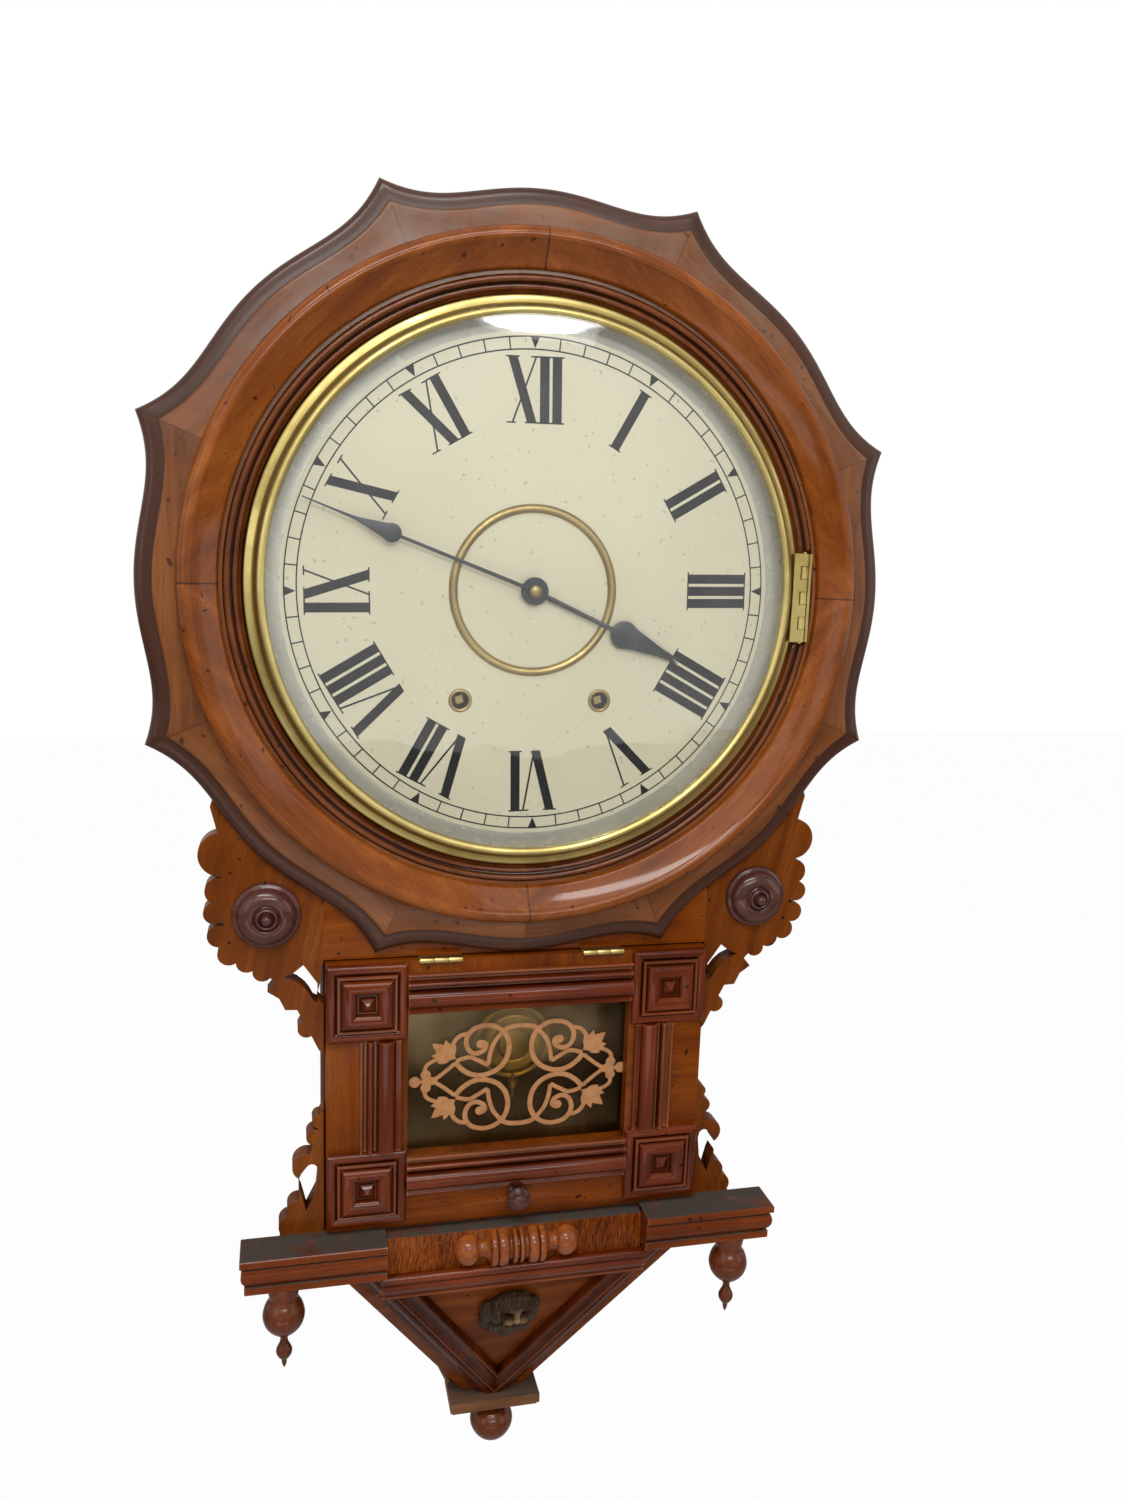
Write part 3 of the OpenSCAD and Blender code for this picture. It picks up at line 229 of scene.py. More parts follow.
def timber(name, dark, mid, pale, streak=1.0, gloss=0.2, coat=0.12, axis=None, ripple=0.0, dust=0.0,
           joints=None, roll_shade=None, high_sheen_and_dust=None, painted_edge_highlight=0.0):
    """Varnished wood. The grain runs along the piece's own grain attribute, or along the named axis.
    Joints holds the angle between glued joints round the dial, the first one's place and their depth.
    The last three paint light: shade on the outer roll, a sheen with some dust on what lies high,
    and pale highlights along the outer edges. Inner corners always get painted shade."""
    wood = Finish(name)
    spot = wood.position()
    if axis is None:
        grain = wood.node("ShaderNodeAttribute", {"attribute_name": "grain"}, {}, out="Vector")
    else:
        turn = {"x": (0, 0, 0), "y": (0, 0, math.pi / 2), "z": (0, math.pi / 2, 0)}[axis]
        grain = wood.node("ShaderNodeMapping", {}, {"Vector": spot, "Rotation": turn})
    bend = wood.clouds(wood.stretch(grain, (7, 22, 22)), 1.0, 2.0)
    bent = wood.node("ShaderNodeVectorMath", {"operation": "MULTIPLY_ADD"},
                     {0: bend, 1: (0.0, 0.012, 0.012), 2: grain})
    bands = wood.clouds(wood.stretch(bent, (3.5, 95, 95)), 1.0, 4.0, 0.55, 0.4)
    fibre = wood.clouds(wood.stretch(bent, (22, 700, 700)), 1.0, 3.0, 0.6)
    pores = wood.clouds(wood.stretch(grain, (75, 1700, 1700)), 1.0, 1.0)
    blotch = wood.clouds(grain, 17.0, 2.0)
    banding = 0.62 * streak
    fibring = 0.22
    blotching = 0.5
    centred = (banding + fibring + blotching - 1.0) / 2
    tone = bands * banding + fibre * fibring + blotch * blotching - centred
    if ripple:
        flame = wood.clouds(wood.stretch(grain, (130, 800, 800)), 1.0, 2.0, 0.5, 0.6)
        tone = tone + (flame - 0.5) * ripple
    colour = wood.ramp(tone, [(0.26, dark), (0.5, mid), (0.74, pale)])
    pore = wood.between(pores, 0.63, 0.72)
    colour = wood.mix(pore * 0.45, colour, darker(dark, 0.35))
    speck = wood.between(wood.clouds(spot, 260.0, 0.0), 0.80, 0.84)
    colour = wood.mix(speck * 0.8, colour, darker(dark, 0.2))
    # Painted sheen and dust: what lies high on the case is greyed and paled in patches.
    if high_sheen_and_dust:
        worn = wood.between(wood.clouds(spot, 45.0, 5.0, 0.6), 0.36, 0.66)
        sheen_height = wood.between(wood.parts(spot)[2], -0.14, 0.02)
        colour = wood.mix(sheen_height * (0.15 + worn * 0.6), colour, high_sheen_and_dust)
    # Painted shade: the outer roll, marked by the edge attribute, is darkened to the given colour.
    if roll_shade:
        edge = wood.node("ShaderNodeAttribute", {"attribute_name": "edge"}, {}, out="Fac")
        colour = wood.mix(edge * (0.55 + blotch * 0.5), colour, roll_shade)
    # Painted shade: inner corners and creases are darkened by how near other surfaces lie.
    crevice_shade = wood.between(wood.crevice(0.007), 0.04, 0.8)
    colour = wood.mix(crevice_shade * 0.9, colour, darker(dark, 0.25))
    # Painted highlight: outer edges and crests are made pale by the given share.
    if painted_edge_highlight:
        crest = wood.between(wood.crevice(0.0022, inside=True), 0.3, 0.75)
        colour = wood.mix(crest * painted_edge_highlight * (0.5 + blotch * 0.8), colour, (0.42, 0.15, 0.055))
    height = fibre * 0.25 - pore * 0.6 + wood.clouds(spot, 90.0, 2.0) * 0.8
    rough = wood.clouds(spot, 38.0, 3.0) * 0.16 + (gloss + 0.1)
    if joints:
        step, first, depth = joints
        x, y, z = wood.parts(spot)
        above = z - DIAL_Z
        turn = wood.node("ShaderNodeMath", {"operation": "ARCTAN2"}, {0: x, 1: above})
        share = wood.node("ShaderNodeMath", {"operation": "PINGPONG"}, {0: turn + first, 1: step / 2})
        reach = (x * x + above * above) ** 0.5
        seam = 1 - wood.between(share * reach, 0.0002, 0.0007)
        colour = wood.mix(seam * depth, colour, darker(dark, 0.3))
        height = height - seam * depth
    if dust:
        lie = wood.parts(wood.node("ShaderNodeTexCoord", {}, {}, out="Normal"))[2]
        patchy = wood.between(wood.clouds(spot, 60.0, 4.0), 0.12, 0.5)
        film = wood.between(lie, 0.7, 0.95) * patchy * dust
        colour = wood.mix(film, colour, (0.062, 0.05, 0.042))
        rough = rough + film * 0.45
        coat = (1 - film) * coat
    wood.surface(Base_Color=colour, Roughness=rough, Coat_Weight=coat, Coat_Roughness=gloss,
                 Normal=wood.bump(height, 0.00012), Specular_IOR_Level=0.04, Specular_Tint=(1, 0.7, 0.45, 1))
    return wood


def give(names, finish):
    """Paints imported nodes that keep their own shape."""
    for name in names:
        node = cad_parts[name]
        node.data.materials.clear()
        node.data.materials.append(finish.owner)


pine = timber("bare_pine", (0.08, 0.04, 0.016), (0.17, 0.095, 0.045), (0.26, 0.16, 0.08), gloss=0.5, coat=0.0,
              axis="z")
give(["backboard", "dial_seat"], pine)


def plain_steel(name, colour, rough):
    metal = Finish(name)
    spot = metal.position()
    wear = metal.clouds(spot, 60.0, 4.0)
    tint = metal.mix(metal.between(wear, 0.45, 0.7), colour, darker(colour, 0.55))
    metal.surface(Base_Color=tint, Metallic=1.0, Roughness=wear * 0.3 + rough,
                  Normal=metal.bump(metal.clouds(spot, 500.0, 2.0), 0.00004))
    return metal


steel = plain_steel("drawn_steel", (0.36, 0.36, 0.37), 0.2)
give(["hanger_plate"], steel)

# Case boards: the eight-sided head box, the trunk's sides and bottom and the board under the dial.
# They are walnut boards, glued and polished, with their edges just taken off.
CASE = Matrix(((0.001, 0, 0, 0), (0, 0, -0.001, 0), (0, 0.001, 0, DIAL_Z), (0, 0, 0, 1)))


def fit_piece(name, bm, finish, body="case", stands_for=(), slot=None, crease=32, join=0.002):
    """Turns what was drawn in case millimetres into a piece in its place, on its body."""
    bmesh.ops.remove_doubles(bm, verts=bm.verts, dist=join)
    bmesh.ops.recalc_face_normals(bm, faces=bm.faces)
    bm.transform(CASE)
    mesh = bpy.data.meshes.new(name)
    bm.to_mesh(mesh)
    bm.free()
    mesh.shade_smooth()
    mesh.set_sharp_from_angle(angle=math.radians(crease))
    mesh.materials.append(finish.owner)
    piece = bpy.data.objects.new(name, mesh)
    scene.collection.objects.link(piece)
    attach(piece, body)
    if stands_for:
        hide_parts(*stands_for)
    return piece


def lay_grain(piece, rule):
    """Gives each corner its place in the board it was cut from, in metres, with x along the board.
    The rule gives a board's direction and its number from a face's middle, in case millimetres."""
    mesh = piece.data
    to_case = CASE.inverted()
    laid = mesh.attributes.new("grain", "FLOAT_VECTOR", "CORNER")
    values = []
    for face in mesh.polygons:
        along, number = rule(to_case @ face.center)
        along = along.normalized()
        side = Vector((0, 0, 1)).cross(along) if abs(along.z) < 0.9 else Vector((1, 0, 0))
        side.normalize()
        third = along.cross(side)
        shift = Vector((number * 0.61, number * 0.137, number * 0.253))
        for loop in face.loop_indices:
            spot = to_case @ mesh.vertices[mesh.loops[loop].vertex_index].co
            values.extend(Vector((spot.dot(along), spot.dot(side), spot.dot(third))) / 1000 + shift)
    laid.data.foreach_set("vector", values)


def fit_wood(name, bm, wood, rule, **fitting):
    """A piece of timber, fitted and with its grain laid."""
    piece = fit_piece(name, bm, wood, **fitting)
    lay_grain(piece, rule)
    return piece


def one_board(x, y, h, number):
    """A rule for a piece cut from one board, with its grain along x, y and h."""
    return lambda middle: (Vector((x, y, h)), number)


def boards_round(step, first, number):
    """A rule for boards laid round the dial, one every step degrees clockwise from the first."""
    def rule(middle):
        sector = math.floor((math.degrees(math.atan2(middle.x, middle.y)) - first) / step + 0.5)
        turn = math.radians(sector * step + first)
        return Vector((math.cos(turn), -math.sin(turn), 0)), sector + number
    return rule


def drawn_from(node):
    """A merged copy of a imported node, in case millimetres, with its flat faces whole."""
    bm = bmesh.new()
    bm.from_mesh(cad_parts[node].data)
    bm.transform(CASE.inverted())
    bmesh.ops.remove_doubles(bm, verts=bm.verts, dist=0.003)
    bmesh.ops.dissolve_limit(bm, angle_limit=math.radians(1), verts=bm.verts, edges=bm.edges)
    return bm


def bevel(bm, edges, width, segments):
    bmesh.ops.bevel(bm, geom=edges, offset=width, offset_type="OFFSET", segments=segments, profile=0.5,
                    affect="EDGES", material=-1, clamp_overlap=True)


def eased(node, width, segments=2, angle=40):
    """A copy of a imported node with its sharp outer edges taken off."""
    bm = drawn_from(node)
    bmesh.ops.recalc_face_normals(bm, faces=bm.faces)
    sharp = [e for e in bm.edges
             if len(e.link_faces) == 2 and e.calc_face_angle_signed(0) > math.radians(angle)]
    bevel(bm, sharp, width, segments)
    return bm


dark_walnut = timber("polished_dark_walnut", (0.035, 0.011, 0.004), (0.095, 0.028, 0.01), (0.17, 0.06, 0.022),
                     gloss=0.35, coat=0.03)
walnut = timber("polished_walnut", (0.06, 0.0105, 0.001), (0.145, 0.03, 0.0015), (0.235, 0.058, 0.004),
                gloss=0.14)
for node, rule in (("head_box", boards_round(45, 0, 0)), ("trunk_sides", one_board(0, 1, 0, 3)),
                   ("trunk_bottom", one_board(1, 0, 0, 5))):
    fit_wood(node + "_boards", eased(node, 0.6), dark_walnut, rule, stands_for=[node], slot="dark_walnut")
fit_wood("front_board_planed", drawn_from("front_board"), walnut, one_board(1, 0, 0, 8),
         stands_for=["front_board"], slot="walnut")

# Surround: eight walnut boards, mitred at the points, sawn to a brace line and moulded along the edge.
# The flat runs in under the round moulding.
BOARD_ANGLE = 45
MID_R = 212.8
TIP_R = 227.0
DIP = 12
CLIMB = TIP_R - MID_R + DIP
FRONT = 74.0
BOARD = 9.0
TOP = FRONT + BOARD
MOULDED = 12
WIDE = 59
ROLL = 9.5


def brace_r(angle):
    """Radius of the brace line, and its slant against the round, at an angle clockwise from the top."""
    half = BOARD_ANGLE / 2
    u = ((math.degrees(angle) + half) % BOARD_ANGLE - half) / half
    radius = MID_R - DIP * u * u + CLIMB * u**4
    fall = (-2 * DIP * u + 4 * CLIMB * u**3) / math.radians(half)
    return radius, math.hypot(1, fall / radius)


def turn_up(bm, profile, steps):
    """Turns a profile of (radius, height) points, drawn in the plane of x and z, round the axis of z."""
    verts = [bm.verts.new((r, 0, z)) for r, z in profile]
    edges = [bm.edges.new(pair) for pair in zip(verts, verts[1:])]
    bmesh.ops.spin(bm, geom=verts + edges, cent=(0, 0, 0), axis=(0, 0, 1), dvec=(0, 0, 0),
                   angle=math.tau, steps=steps, use_merge=True, use_duplicate=False)
    bmesh.ops.remove_doubles(bm, verts=bm.verts, dist=0.001)


def turned(profile, steps, place=(0, 0, 0)):
    """A turning of its own, facing out from the wall."""
    bm = bmesh.new()
    turn_up(bm, profile, steps)
    bmesh.ops.translate(bm, verts=bm.verts, vec=place)
    return bm


def rounded(points, steps=6):
    """A smooth curve through points, as a list."""
    fine = []
    pts = [Vector(p) for p in points]
    for i in range(len(pts) - 1):
        a = pts[max(i - 1, 0)]
        b, c = pts[i], pts[i + 1]
        d = pts[min(i + 2, len(pts) - 1)]
        for k in range(steps):
            t = k / steps
            fine.append(tuple(0.5 * (2 * b + (c - a) * t + (2 * a - 5 * b + 4 * c - d) * t * t
                                     + (3 * b - a - 3 * c + d) * t**3)))
    return fine + [tuple(pts[-1])]


edge = rounded([(0, 0.2), (0.1, 2.2), (1.0, 4.2), (3.2, 5.9), (6.2, 6.6), (9.2, 6.7)], 4)
edge += [(9.6, 7.1), (9.7, 8.0), (10.3, 8.7), (11.2, BOARD), (30, BOARD), (WIDE, BOARD), (WIDE, 0), (30, 0),
         (0.6, 0), edge[0]]
bm = turned([(TIP_R - inset, FRONT + h) for inset, h in edge], 384)
for vert in bm.verts:
    angle = math.atan2(vert.co.x, vert.co.y)
    inset = TIP_R - math.hypot(vert.co.x, vert.co.y)
    line, slant = brace_r(angle)
    radius = line - min(inset, MOULDED) * slant
    if inset > MOULDED:
        radius += (TIP_R - WIDE - radius) * (inset - MOULDED) / (WIDE - MOULDED)
    vert.co.x = math.sin(angle) * radius
    vert.co.y = math.cos(angle) * radius
# The surround's finish paints shade on its outer roll, and a sheen with some dust high on the case.
surround_walnut = timber(
    "surround_walnut", (0.068, 0.019, 0.004), (0.15, 0.045, 0.01), (0.235, 0.08, 0.022), streak=1.1,
    gloss=0.24, coat=0.42, joints=(math.radians(BOARD_ANGLE), math.radians(BOARD_ANGLE / 2), 0.35),
    roll_shade=(0.022, 0.007, 0.005), high_sheen_and_dust=(0.15, 0.095, 0.065))
piece = fit_wood("surround_moulded", bm, surround_walnut, boards_round(BOARD_ANGLE, 0, 0),
                 stands_for=["surround"], slot="walnut")
# The edge attribute marks the outer roll, which the finish darkens as painted shade.
mark = piece.data.attributes.new("edge", "FLOAT", "POINT")
for vert, value in zip(piece.data.vertices, mark.data):
    spot = CASE.inverted() @ vert.co
    line, slant = brace_r(math.atan2(spot.x, spot.y))
    value.value = float(line - math.hypot(spot.x, spot.y) < ROLL * slant)

# Round moulding: turned from four pieces of orange walnut, glued in a ring, then highly polished.
# A long slope rises from the bezel to a ridge and rolls over outside.
RING_IN = 170
RING_OUT = 191.5
ring = [(RING_IN, TOP)]
ring += rounded([(RING_IN, 84.6), (170.8, 86.4), (172.4, 87.4), (175.5, 89.2), (179.5, 92.0),
                 (182.5, 94.4)], 4)
ring += rounded([(183.2, 95.3), (184.6, 95.9), (186.6, 95.7), (188.8, 94.2), (190.4, 91.4), (191.3, 87.6),
                 (RING_OUT, 84)], 4)
ring += [(RING_OUT, TOP), (180, TOP), (RING_IN, TOP)]
ring_walnut = timber("ring_walnut", (0.085, 0.019, 0.0025), (0.18, 0.044, 0.005), (0.29, 0.085, 0.013),
                     gloss=0.08, coat=0.34, joints=(math.radians(90), 0, 0.8))
fit_wood("round_moulding_turned", turned(ring, 256), ring_walnut, boards_round(90, 45, 20),
         stands_for=["round_moulding"], slot="walnut")

# Beads inside the round moulding: two turned beads with quirks between them, nearly black in the hollows.
# The hinge of the bezel is let into them at three o'clock.
BEADS_IN = 158.6
BEADS_OUT = 168
HINGE_HALF = 26.6
HINGE_SEAT = 80.6


def reed(middle, foot, across, high, angles):
    """The round of a bead or a reed, as part of a profile."""
    turns = [math.radians(a) for a in angles]
    return [(middle - across * math.cos(a), foot + high * math.sin(a)) for a in turns]


beads = [(BEADS_IN, FRONT), (BEADS_IN, 79.6)] + reed(161.7, 81, 1.7, 1.7, range(0, 181, 15))
beads += [(164.0, 81.2)] + reed(165.7, 83, 1.7, 1.7, range(0, 181, 15))
beads += [(BEADS_OUT, 82), (BEADS_OUT, FRONT), (BEADS_IN, FRONT)]
bead_mahogany = timber("bead_mahogany", (0.045, 0.01, 0.0025), (0.11, 0.027, 0.0055), (0.18, 0.052, 0.012),
                       gloss=0.08, coat=0.45)
bm = turned(beads, 256)
for vert in bm.verts:
    if vert.co.x > 0 and abs(vert.co.y) < HINGE_HALF:
        vert.co.z = min(vert.co.z, HINGE_SEAT)
fit_wood("beads_turned", bm, bead_mahogany, boards_round(90, 45, 20), stands_for=["bead_moulding"],
         slot="mahogany")

# Ears and brackets: fretted walnut boards with the saw's small facets, their edges just broken.
# Both stand back behind the surround and run in against the trunk's sides.
ear_walnut = timber("ear_walnut", (0.055, 0.012, 0.0015), (0.125, 0.029, 0.003), (0.2, 0.055, 0.008),
                    gloss=0.2, coat=0.08)
for node, number in (("ears", 31), ("brackets", 35)):
    fit_wood(node + "_fretted", eased(node, 0.5, segments=1, angle=60), ear_walnut,
             one_board(0.2, 1, 0, number), stands_for=[node], slot="dark_walnut")

# Bosses on the ears: turned, stained dark oxblood and polished.
# A flange, a swelled body, a sunk ring and a button with a nipple.
BOSS_X = 147.3
BOSS_Y = -185.0
BOSS_R = 19
oxblood = timber("oxblood_polish", (0.018, 0.005, 0.004), (0.06, 0.017, 0.012), (0.11, 0.035, 0.026),
                 gloss=0.12, coat=0.5)
boss = [(0, 0), (BOSS_R, 0)] + rounded([(BOSS_R, 0.2), (BOSS_R, 1.4), (18.5, 2.6), (17.4, 3.1)], 3)
boss += rounded([(16.6, 3.4), (16.2, 4.6), (14.6, 6.8), (12.2, 8.3), (9.6, 8.9), (7.9, 8.6)], 4)
boss += rounded([(7.2, 7.9), (6.5, 8.5), (6.1, 9.6), (5.2, 10.2), (4.4, 9.8)], 3)
boss += rounded([(3.9, 9.1), (3.4, 9.6), (3.1, 11.2), (2.4, 12.8), (1.2, 13.6), (0, 13.8)], 3)
for side, name in ((-1, "left"), (1, "right")):
    fit_wood("boss_" + name, turned(boss, 64, (side * BOSS_X, BOSS_Y, FRONT)), oxblood,
             one_board(1, 0.3, 0, 40 + side), stands_for=["ear_bosses"], slot="oxblood")

# Shelves on both sides of the apron: mahogany, run with a stepped ogee along the front and the outer end,
# mitred at the corner, with a filling block behind. Dust lies on their tops.
SHELF_TOP = -384.12
SHELF_HIGH = 22.8
SHELF_FOOT = SHELF_TOP - SHELF_HIGH
SHELF_IN = 80
SHELF_OUT = 164.4
SHELF_FRONT = 98


def run_moulding(bm, route, profile, closed=False, side=(0, 0, 1)):
    """Runs a profile of (inset, rise) points along a route, mitred at its corners.
    The rise is along side, and the inset to the left of the route as seen from that side."""
    side = Vector(side).normalized()
    route = [Vector(p) for p in route]
    count = len(route)
    rows = []
    for i, spot in enumerate(route):
        runs = []
        if closed or i:
            runs.append((spot - route[i - 1]).normalized())
        if closed or i < count - 1:
            runs.append((route[(i + 1) % count] - spot).normalized())
        mitre = sum([side.cross(run).normalized() for run in runs], Vector()) / len(runs)
        mitre /= max(mitre.length_squared, 0.05)
        rows.append([bm.verts.new(spot + mitre * inset + side * rise) for inset, rise in profile])
    for a, b in list(zip(rows, rows[1:])) + ([(rows[-1], rows[0])] if closed else []):
        for k in range(len(a)):
            following = (k + 1) % len(a)
            bm.faces.new((a[k], a[following], b[following], b[k]))
    if not closed:
        bm.faces.new(rows[0])
        bm.faces.new(rows[-1])


# The mahogany finishes paint pale highlights along their outer edges.
mahogany = timber("red_mahogany", (0.03, 0.0035, 0.0006), (0.092, 0.0125, 0.0012), (0.175, 0.031, 0.004),
                  gloss=0.07, coat=0.34, painted_edge_highlight=0.45)
shelf_mahogany = timber("shelf_mahogany", (0.05, 0.008, 0.0015), (0.12, 0.022, 0.003), (0.2, 0.044, 0.007),
                        gloss=0.13, coat=0.15, dust=1.0, painted_edge_highlight=0.35)
shelf_edge = [(0.5, 0), (0, -0.5), (0, -4.2), (0.4, -4.6), (2.7, -4.8), (2.8, -6.0)]
shelf_edge += rounded([(1.7, -6.3), (0.9, -8.0), (0.6, -10.4), (0.9, -12.8), (2.0, -15.2), (3.5, -17.0)], 3)
shelf_edge += [(3.7, -17.9), (2.4, -18.1), (2.4, -22.4), (2.8, -SHELF_HIGH), (17, -SHELF_HIGH), (17, 0)]
shelf_route = [(SHELF_IN, SHELF_TOP, SHELF_FRONT), (SHELF_OUT, SHELF_TOP, SHELF_FRONT),
               (SHELF_OUT, SHELF_TOP, FRONT)]
filling = Matrix.Translation((117.5, SHELF_TOP - SHELF_HIGH / 2, 79.5)) @ Matrix.Diagonal((75, 22.78, 11, 1))
for side, name in ((1, "right"), (-1, "left")):
    bm = bmesh.new()
    run_moulding(bm, shelf_route, shelf_edge, side=(0, 1, 0))
    bmesh.ops.create_cube(bm, size=1, matrix=filling)
    bmesh.ops.scale(bm, vec=(side, 1, 1), verts=bm.verts)
    fit_wood("shelf_" + name, bm, shelf_mahogany, one_board(1, 0, 0, 50 + side), stands_for=["shelves"],
             slot="mahogany", crease=28)

# Apron between the shelves: a board faced with figured walnut whose grain stands upright.
# A split turning in paler wood is glued along its middle.
APRON_TOP = SHELF_TOP - 2.9
APRON_FRONT = 85
burr = timber("flamed_veneer", (0.05, 0.0085, 0.001), (0.14, 0.029, 0.003), (0.25, 0.065, 0.008), streak=0.7,
              gloss=0.14, coat=0.08, dust=1.0, ripple=0.9)
fit_wood("apron_veneered", eased("apron", 0.4), burr, one_board(0.12, 1, 0, 55), stands_for=["apron"],
         slot="walnut")


def close_holes(bm):
    bmesh.ops.holes_fill(bm, edges=[e for e in bm.edges if len(e.link_faces) == 1], sides=0)


def saw_off(bm, at, way):
    """Saws a solid through at a plane, and closes the cut. What lies on the side of way goes."""
    bmesh.ops.bisect_plane(bm, geom=bm.verts[:] + bm.edges[:] + bm.faces[:], plane_co=at, plane_no=way,
                           clear_outer=True)
    close_holes(bm)


light_walnut = timber("pale_turned_walnut", (0.06, 0.011, 0.003), (0.2, 0.044, 0.007), (0.34, 0.1, 0.02),
                      gloss=0.08, coat=0.45)
acorn = [(0, -39.5), (2.2, -39.3), (5.4, -37.8), (8.2, -35.0), (9.5, -31.6), (9.4, -28.6), (8.1, -26.0),
         (6.6, -24.8)]
shaft = [(5.9, -24.2), (5.5, -22.4), (6.2, -20.0), (8.0, -18.0), (9.4, -17.2)]
rings = rounded([(10.0, -17.0), (11.2, -16.4), (11.5, -14.9), (11.2, -13.4), (10.3, -12.9)], 3)
rings += [(9.9, -12.7)] + rounded([(10.6, -12.4), (11.5, -11.2), (11.7, -9.3), (11.4, -7.4), (10.3, -6.3)], 3)
rings += rounded([(8.9, -6.0), (8.3, -4.8), (8.8, -3.8), (9.9, -3.5), (10.7, -2.8), (10.9, -1.9),
                  (10.6, -1.0), (9.6, -0.6), (8.7, -0.4), (8.6, 0)], 3)
baluster = rounded(acorn + shaft, 3) + rings
baluster += [(r, -z) for r, z in reversed(baluster[:-1])]
bm = turned(baluster, 56)
bmesh.ops.rotate(bm, verts=bm.verts, matrix=Matrix.Rotation(math.pi / 2, 3, "Y"))
saw_off(bm, (0, 0, 0), (0, 0, -1))
bmesh.ops.translate(bm, verts=bm.verts, vec=(0, APRON_TOP - 12, APRON_FRONT))
fit_wood("turning_split", bm, light_walnut, one_board(1, 0, 0, 57), stands_for=["split_turning"],
         slot="light_walnut")

# Moulding under the apron: mahogany, run with a bead above and steps that go in downwards.
# It is sawn square at both ends, between the raking mouldings.
LEDGE_TOP = APRON_TOP - 26
LEDGE_FRONT = 89
LEDGE_END = 82.5
ledge_edge = rounded([(4.6, 2.6), (2.6, 2.4), (0.7, 1.5), (-0.1, 0.0), (0.1, -1.6), (1.0, -2.6)], 3)
ledge_edge += [(1.6, -2.8), (1.6, -3.7)] + rounded([(1.1, -4.0), (1.0, -6.0), (1.6, -8.2), (2.9, -10.2)], 3)
ledge_edge += [(3.3, -10.6), (4.4, -10.8), (4.4, -12.3), (3.8, -12.6), (3.5, -13.3), (3.7, -14.0),
               (4.5, -14.3), (15, -14.3), (15, 2.6)]
bm = bmesh.new()
run_moulding(bm, [(-LEDGE_END, LEDGE_TOP, LEDGE_FRONT), (LEDGE_END, LEDGE_TOP, LEDGE_FRONT)], ledge_edge,
             side=(0, 1, 0))
fit_wood("ledge_moulded", bm, mahogany, one_board(1, 0, 0, 59), stands_for=["ledge"], slot="mahogany")

# Foot: a walnut panel that slopes back to the wall, two cheeks, and reeded mahogany mouldings in a V.
# The mouldings are mitred where they meet above the block.
FOOT_TOP = LEDGE_TOP - 13
FOOT_LONG = 125
FOOT_FRONT = 78
FOOT_BACK = 18
foot_walnut = timber("foot_walnut", (0.055, 0.011, 0.0015), (0.125, 0.027, 0.003), (0.205, 0.053, 0.008),
                     gloss=0.16)
for node, finish, rule, slot in (("foot_panel", foot_walnut, one_board(1, 0.06, 0, 61), "walnut"),
                                 ("foot_cheeks", dark_walnut, one_board(0, 1, 0.3, 62), "dark_walnut")):
    fit_wood(node + "_planed", eased(node, 0.4, segments=1, angle=50), finish, rule, stands_for=[node],
             slot=slot)

# Its outer edges get a painted highlight.
foot_mahogany = timber("dark_foot_mahogany", (0.02, 0.003, 0.001), (0.06, 0.0095, 0.0018),
                       (0.12, 0.023, 0.0045), gloss=0.08, coat=0.12, painted_edge_highlight=0.35)
slope = math.atan((FOOT_FRONT - FOOT_BACK) / FOOT_LONG)
on_slope = Matrix.Translation((0, FOOT_TOP, FOOT_FRONT)) @ Matrix.Rotation(slope, 4, "X")
rake = 0.538
horn = 23.2
horn_x = 81 + horn * rake
rake_edge = [(-3.8, 0), (-4, 0.2), (-4, 2.2), (-3.7, 2.5), (-0.2, 2.7), (0, 3.2), (0.4, 3.8)]
rake_edge += rounded([(0.8, 4.0), (2.4, 5.4), (4.2, 5.6), (5.6, 4.8)], 3)
rake_edge += [(6.0, 4.2), (6.3, 4.0), (6.5, 5.8), (7.0, 6.3), (7.7, 6.3), (8.1, 5.7)]
rake_edge += rounded([(8.4, 5.0), (10.6, 4.0), (13.4, 3.8), (16.0, 4.6), (16.7, 5.4)], 3)
rake_edge += [(17.0, 6.5), (17.8, 6.9), (18.6, 6.6), (19.2, 5.6), (19.6, 0.4), (19.6, 0)]
foot_ledge = ((0, FOOT_TOP, 0), (0, -1, 0))
foot_shelf = ((0, SHELF_FOOT, 0), (0, 1, 0))
below_ledge = [((0, FOOT_TOP, 0), (0, 1, 0)), ((0, FOOT_TOP - FOOT_LONG, 0), (0, -1, 0))]
right_of_ledge = [foot_shelf, foot_ledge, ((LEDGE_END, 0, 0), (-1, 0, 0))]
left_of_ledge = [foot_shelf, foot_ledge, ((-LEDGE_END, 0, 0), (1, 0, 0))]
sawn = bpy.data.meshes.new("sawn_mouldings")
for cuts in (below_ledge, right_of_ledge, left_of_ledge):
    bm = bmesh.new()
    run_moulding(bm, [(horn_x, horn, 0), (0, horn - horn_x / rake, 0), (-horn_x, horn, 0)], rake_edge,
                 side=(0, 0, -1))
    bmesh.ops.scale(bm, vec=(1, 1, -1), verts=bm.verts)
    bm.transform(on_slope)
    for at, way in cuts:
        saw_off(bm, at, way)
    bm.from_mesh(sawn)
    bm.to_mesh(sawn)
    bm.free()
bm = bmesh.new()
bm.from_mesh(sawn)
fit_wood("foot_mouldings_reeded", bm, foot_mahogany,
         lambda middle: (Vector((math.copysign(rake, middle.x), 1, -0.4)), 64 + (middle.x > 0)),
         stands_for=["foot_mouldings"], slot="mahogany", crease=28)

